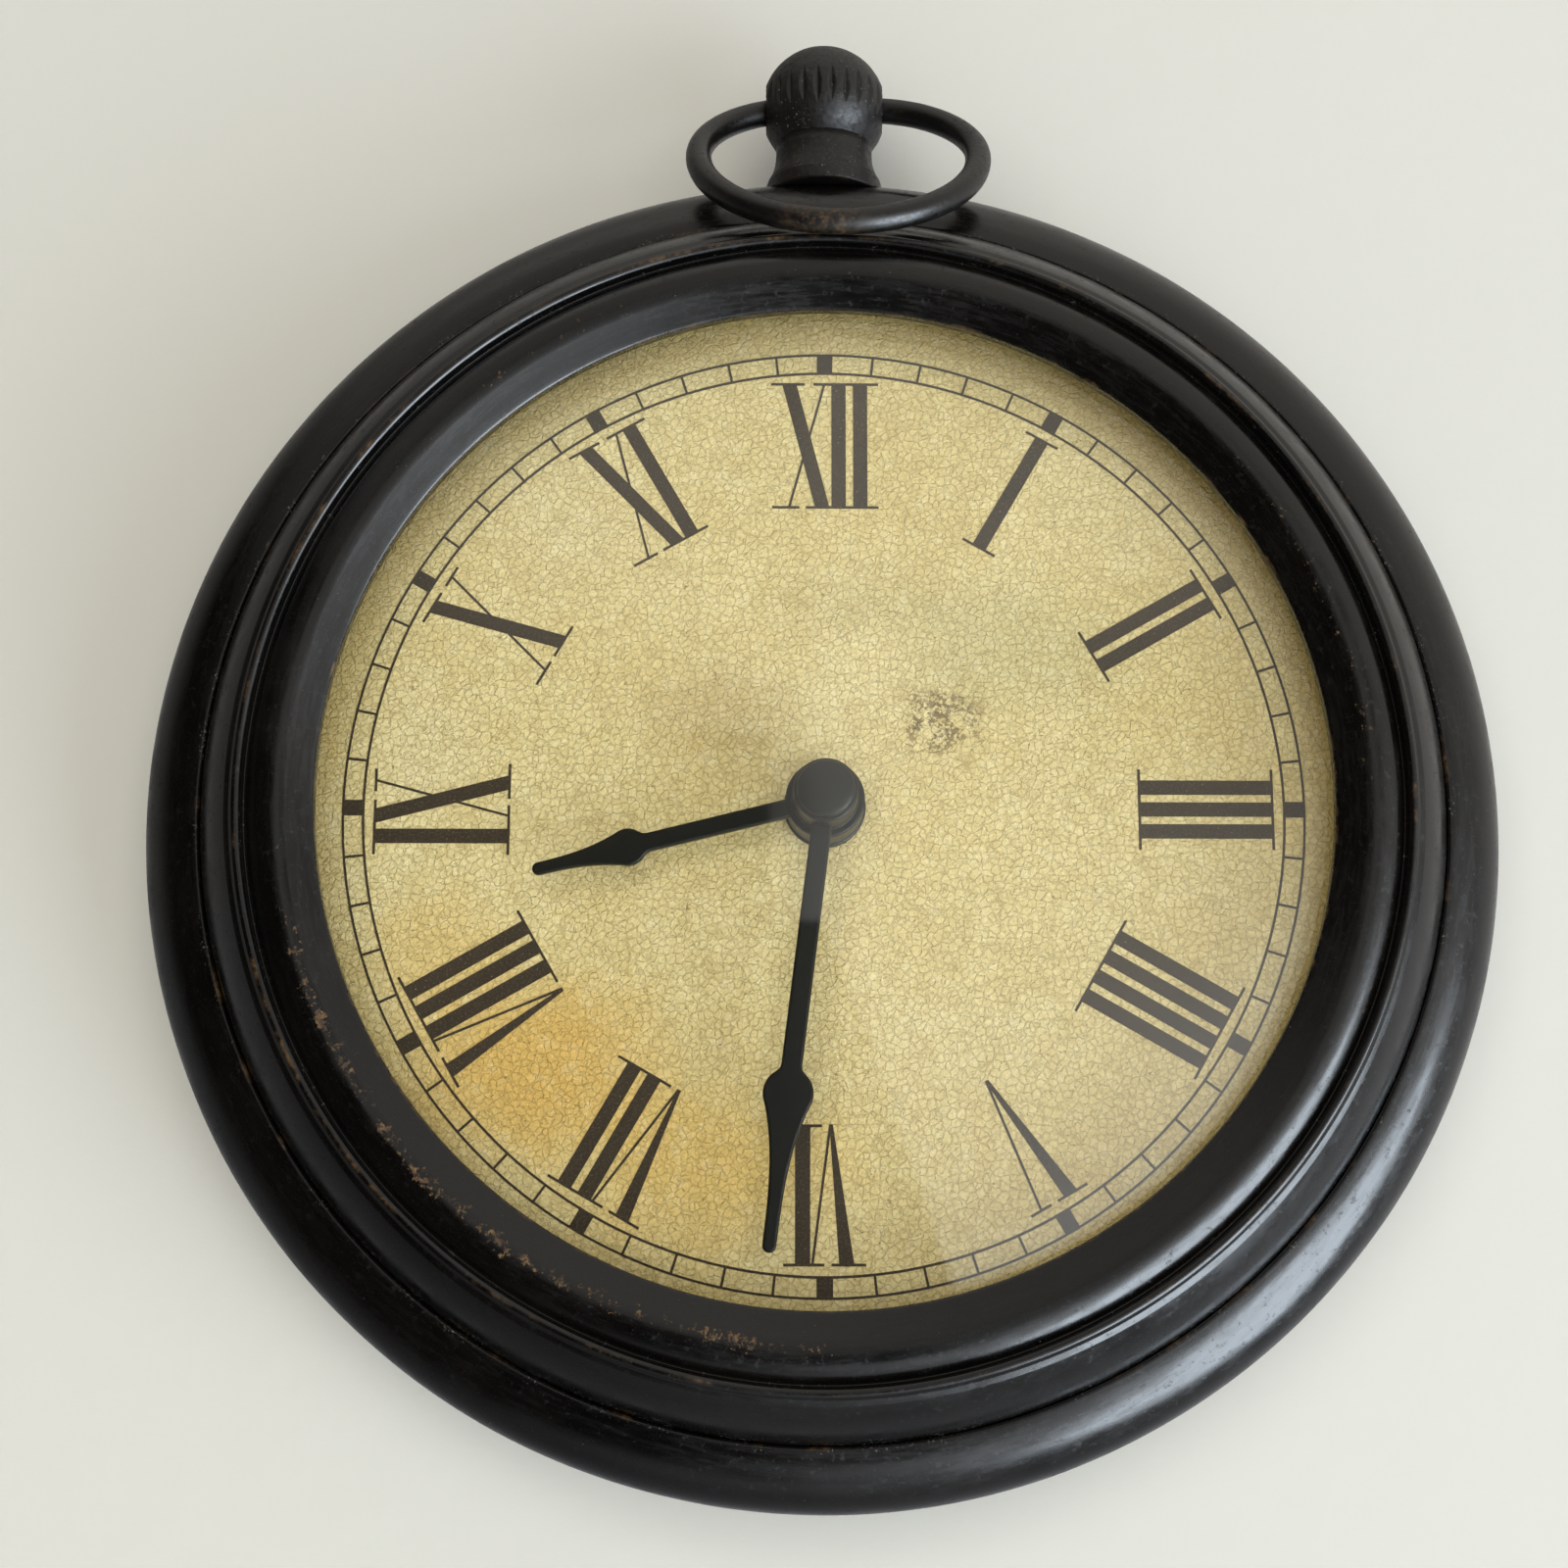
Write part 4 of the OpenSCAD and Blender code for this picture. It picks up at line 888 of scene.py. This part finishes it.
def wall_finish():
    """Pale matt wall with a faint tooth. From behind it isn't there, so the clock's back can be seen."""
    s = Shader("wall")
    tone = s.mix(s.noise(180, 3, 0.5), (0.475, 0.470, 0.428), (0.515, 0.512, 0.478))
    n = s.bump(s.noise(0.9, 4, 0.7), 0.35, 0.10)
    n = s.bump(s.noise(7, 3, 0.6, w=2), 0.25, 0.35, n)
    solid = s.principled(Base_Color=tone, Roughness=0.85, Normal=n, Specular_IOR_Level=0.2)
    clear = s.node("ShaderNodeBsdfTransparent").outputs[0]
    back = s.node("ShaderNodeNewGeometry").outputs["Backfacing"]
    shadow = s.node("ShaderNodeLightPath").outputs["Is Shadow Ray"]
    return s.done(s.blend(s.high(back, shadow), solid, clear))


def floor_finish():
    s = Shader("floor")
    tone = s.mix(s.noise(400, 3), (0.62, 0.62, 0.59), (0.68, 0.68, 0.65))
    return s.done(s.principled(Base_Color=tone, Roughness=0.7))


# in metres: the wall's gap behind the clock and its half width, and the floor's level and half width
WALL_Y, WALL_HALF, FLOOR_Z, FLOOR_HALF = 0.0003, 1.6, -1.3, 5
corners = [(-1, -1), (1, -1), (1, 1), (-1, 1)]
wall = make_object("wall", [(WALL_HALF * u, WALL_Y, FLOOR_Z if v < 0 else WALL_HALF) for u, v in corners],
                   [(0, 1, 2, 3)], smooth=False)
wall.data.materials.append(wall_finish())
floor = make_object("floor", [(FLOOR_HALF * u, FLOOR_HALF * v, FLOOR_Z) for u, v in corners],
                    [(0, 1, 2, 3)], smooth=False)
floor.data.materials.append(floor_finish())
# gloss shows the room instead
floor.visible_glossy = False
wall.visible_glossy = False


def area(name, where, size, power, colour=(1, 1, 1), spin=0.0):
    """Area light aimed at the clock, in metres and watts."""
    light = bpy.data.lights.new(name, "AREA")
    light.shape = "RECTANGLE"
    light.size, light.size_y = size
    light.energy = power
    light.color = colour
    obj = bpy.data.objects.new(name, light)
    obj.location = where
    d = Vector((0, -0.02, 0)) - Vector(where)
    obj.rotation_euler = (d.to_track_quat("-Z", "Y").to_matrix()
                          @ Matrix.Rotation(spin, 3, "Z")).to_euler()
    bpy.context.scene.collection.objects.link(obj)
    return obj


# a sky-coloured window to the lower right, a soft key from the front, and a fill behind the wall that
# lights the clock's back
area("window", (0.95, -0.62, -0.78), (0.9, 1.15), 23, (0.78, 0.89, 1.0), spin=0.5)
key = area("key", (-0.1, -2.4, 0.05), (2.2, 2.2), 57, (1.0, 0.965, 0.91))
key.visible_glossy = False
back = area("back_fill", (0.3, 1.6, 0.6), (1.6, 1.6), 30)
back.visible_glossy = False


def room():
    """The room the glass and paint reflect: a pale ceiling and right-hand wall, dark to the left and
    below, with a standing figure's dark shape in front of the dial."""
    world = bpy.data.worlds.new("room")
    bpy.context.scene.world = world
    s = Shader("room", world)
    direction = s.node("ShaderNodeTexCoord").outputs["Generated"]
    xyz = s.node("ShaderNodeSeparateXYZ")
    s.link(direction, xyz.inputs[0])
    right, inward, up = xyz.outputs
    front = s.ramp(inward, 0.25, -0.35)
    # pale ceiling, lower towards the viewer's side; pale right-hand wall; a little light off the floor
    ceiling = s.sub(s.add(up, s.mul(right, 0.436)), s.mul(inward, 0.267))
    level = s.high(s.ramp(ceiling, 0.30, 0.62, 0.012, 0.34), s.ramp(right, -0.10, 0.02, 0.012, 0.46))
    shade = s.mul(s.band(up, 0.28, 0.22), s.band(right, 0.38, 0.36))
    level = s.mul(level, s.sub(1.0, s.mul(shade, 0.65)))
    level = s.high(level, s.ramp(up, 0.70, 0.90, 0.0, 0.60))
    level = s.high(level, s.ramp(up, -0.75, -1.0, 0.0, 0.30))
    # glow round the window
    glow = s.sub(s.sub(s.mul(right, 0.62), s.mul(up, 0.5)), s.mul(inward, 0.6))
    level = s.add(level, s.ramp(glow, 0.74, 0.98, 0.0, 0.9))
    # the figure: dark left of a slanting line, with a shoulder further left
    edge = s.add(right, s.mul(up, 0.361))
    body = s.mul(s.ramp(edge, 0.035, 0.022), s.ramp(up, 0.055, 0.045))
    shoulder = s.mul(s.ramp(right, -0.045, -0.06), s.ramp(up, 0.28, 0.265))
    figure = s.mul(s.high(body, shoulder), s.ramp(inward, -0.75, -0.85))
    level = s.mul(level, s.sub(1.0, s.mul(figure, 0.9)))
    # the wall as the paint sees it, brighter to the right and dark below
    behind = s.mul(s.ramp(right, -0.9, 0.6, 0.18, 0.56), s.ramp(up, -0.9, 0.0, 0.45, 1.0))
    level = s.add(s.mul(level, front), s.mul(s.sub(1.0, front), behind))
    background = s.node("ShaderNodeBackground")
    tint = s.mix(s.ramp(up, -0.6, 0.6), (0.93, 0.96, 1.0), (1.0, 0.965, 0.89))
    s.link(tint, background.inputs["Color"])
    s.link(level, background.inputs["Strength"])
    s.link(background.outputs[0], s.node("ShaderNodeOutputWorld").inputs["Surface"])


room()


# ---------------------------------------------------------------- camera

# from slightly below, looking up; metres, with the focal length for a sensor 36 mm wide
EYE = Vector((-0.0038, -0.3190, -0.0607))
LOOK = Vector((0.0111, 0.978, 0.2084))
LEVEL = Vector((0.99994, -0.0113, 0.0))
FOCAL, SHIFT = 58.8, -0.02375

cam_data = bpy.data.cameras.new("camera")
cam_data.sensor_width = 36
cam_data.lens = FOCAL
cam_data.shift_x = SHIFT
cam_data.clip_start = 0.01
cam_data.clip_end = 20
camera = bpy.data.objects.new("camera", cam_data)
forward = LOOK.normalized()
up = LEVEL.normalized().cross(forward)
right = forward.cross(up)
pose = Matrix((right, up, -forward)).transposed().to_4x4()
pose.translation = EYE
camera.matrix_world = pose
bpy.context.scene.collection.objects.link(camera)
bpy.context.scene.camera = camera
bpy.context.scene.view_settings.view_transform = "Standard"
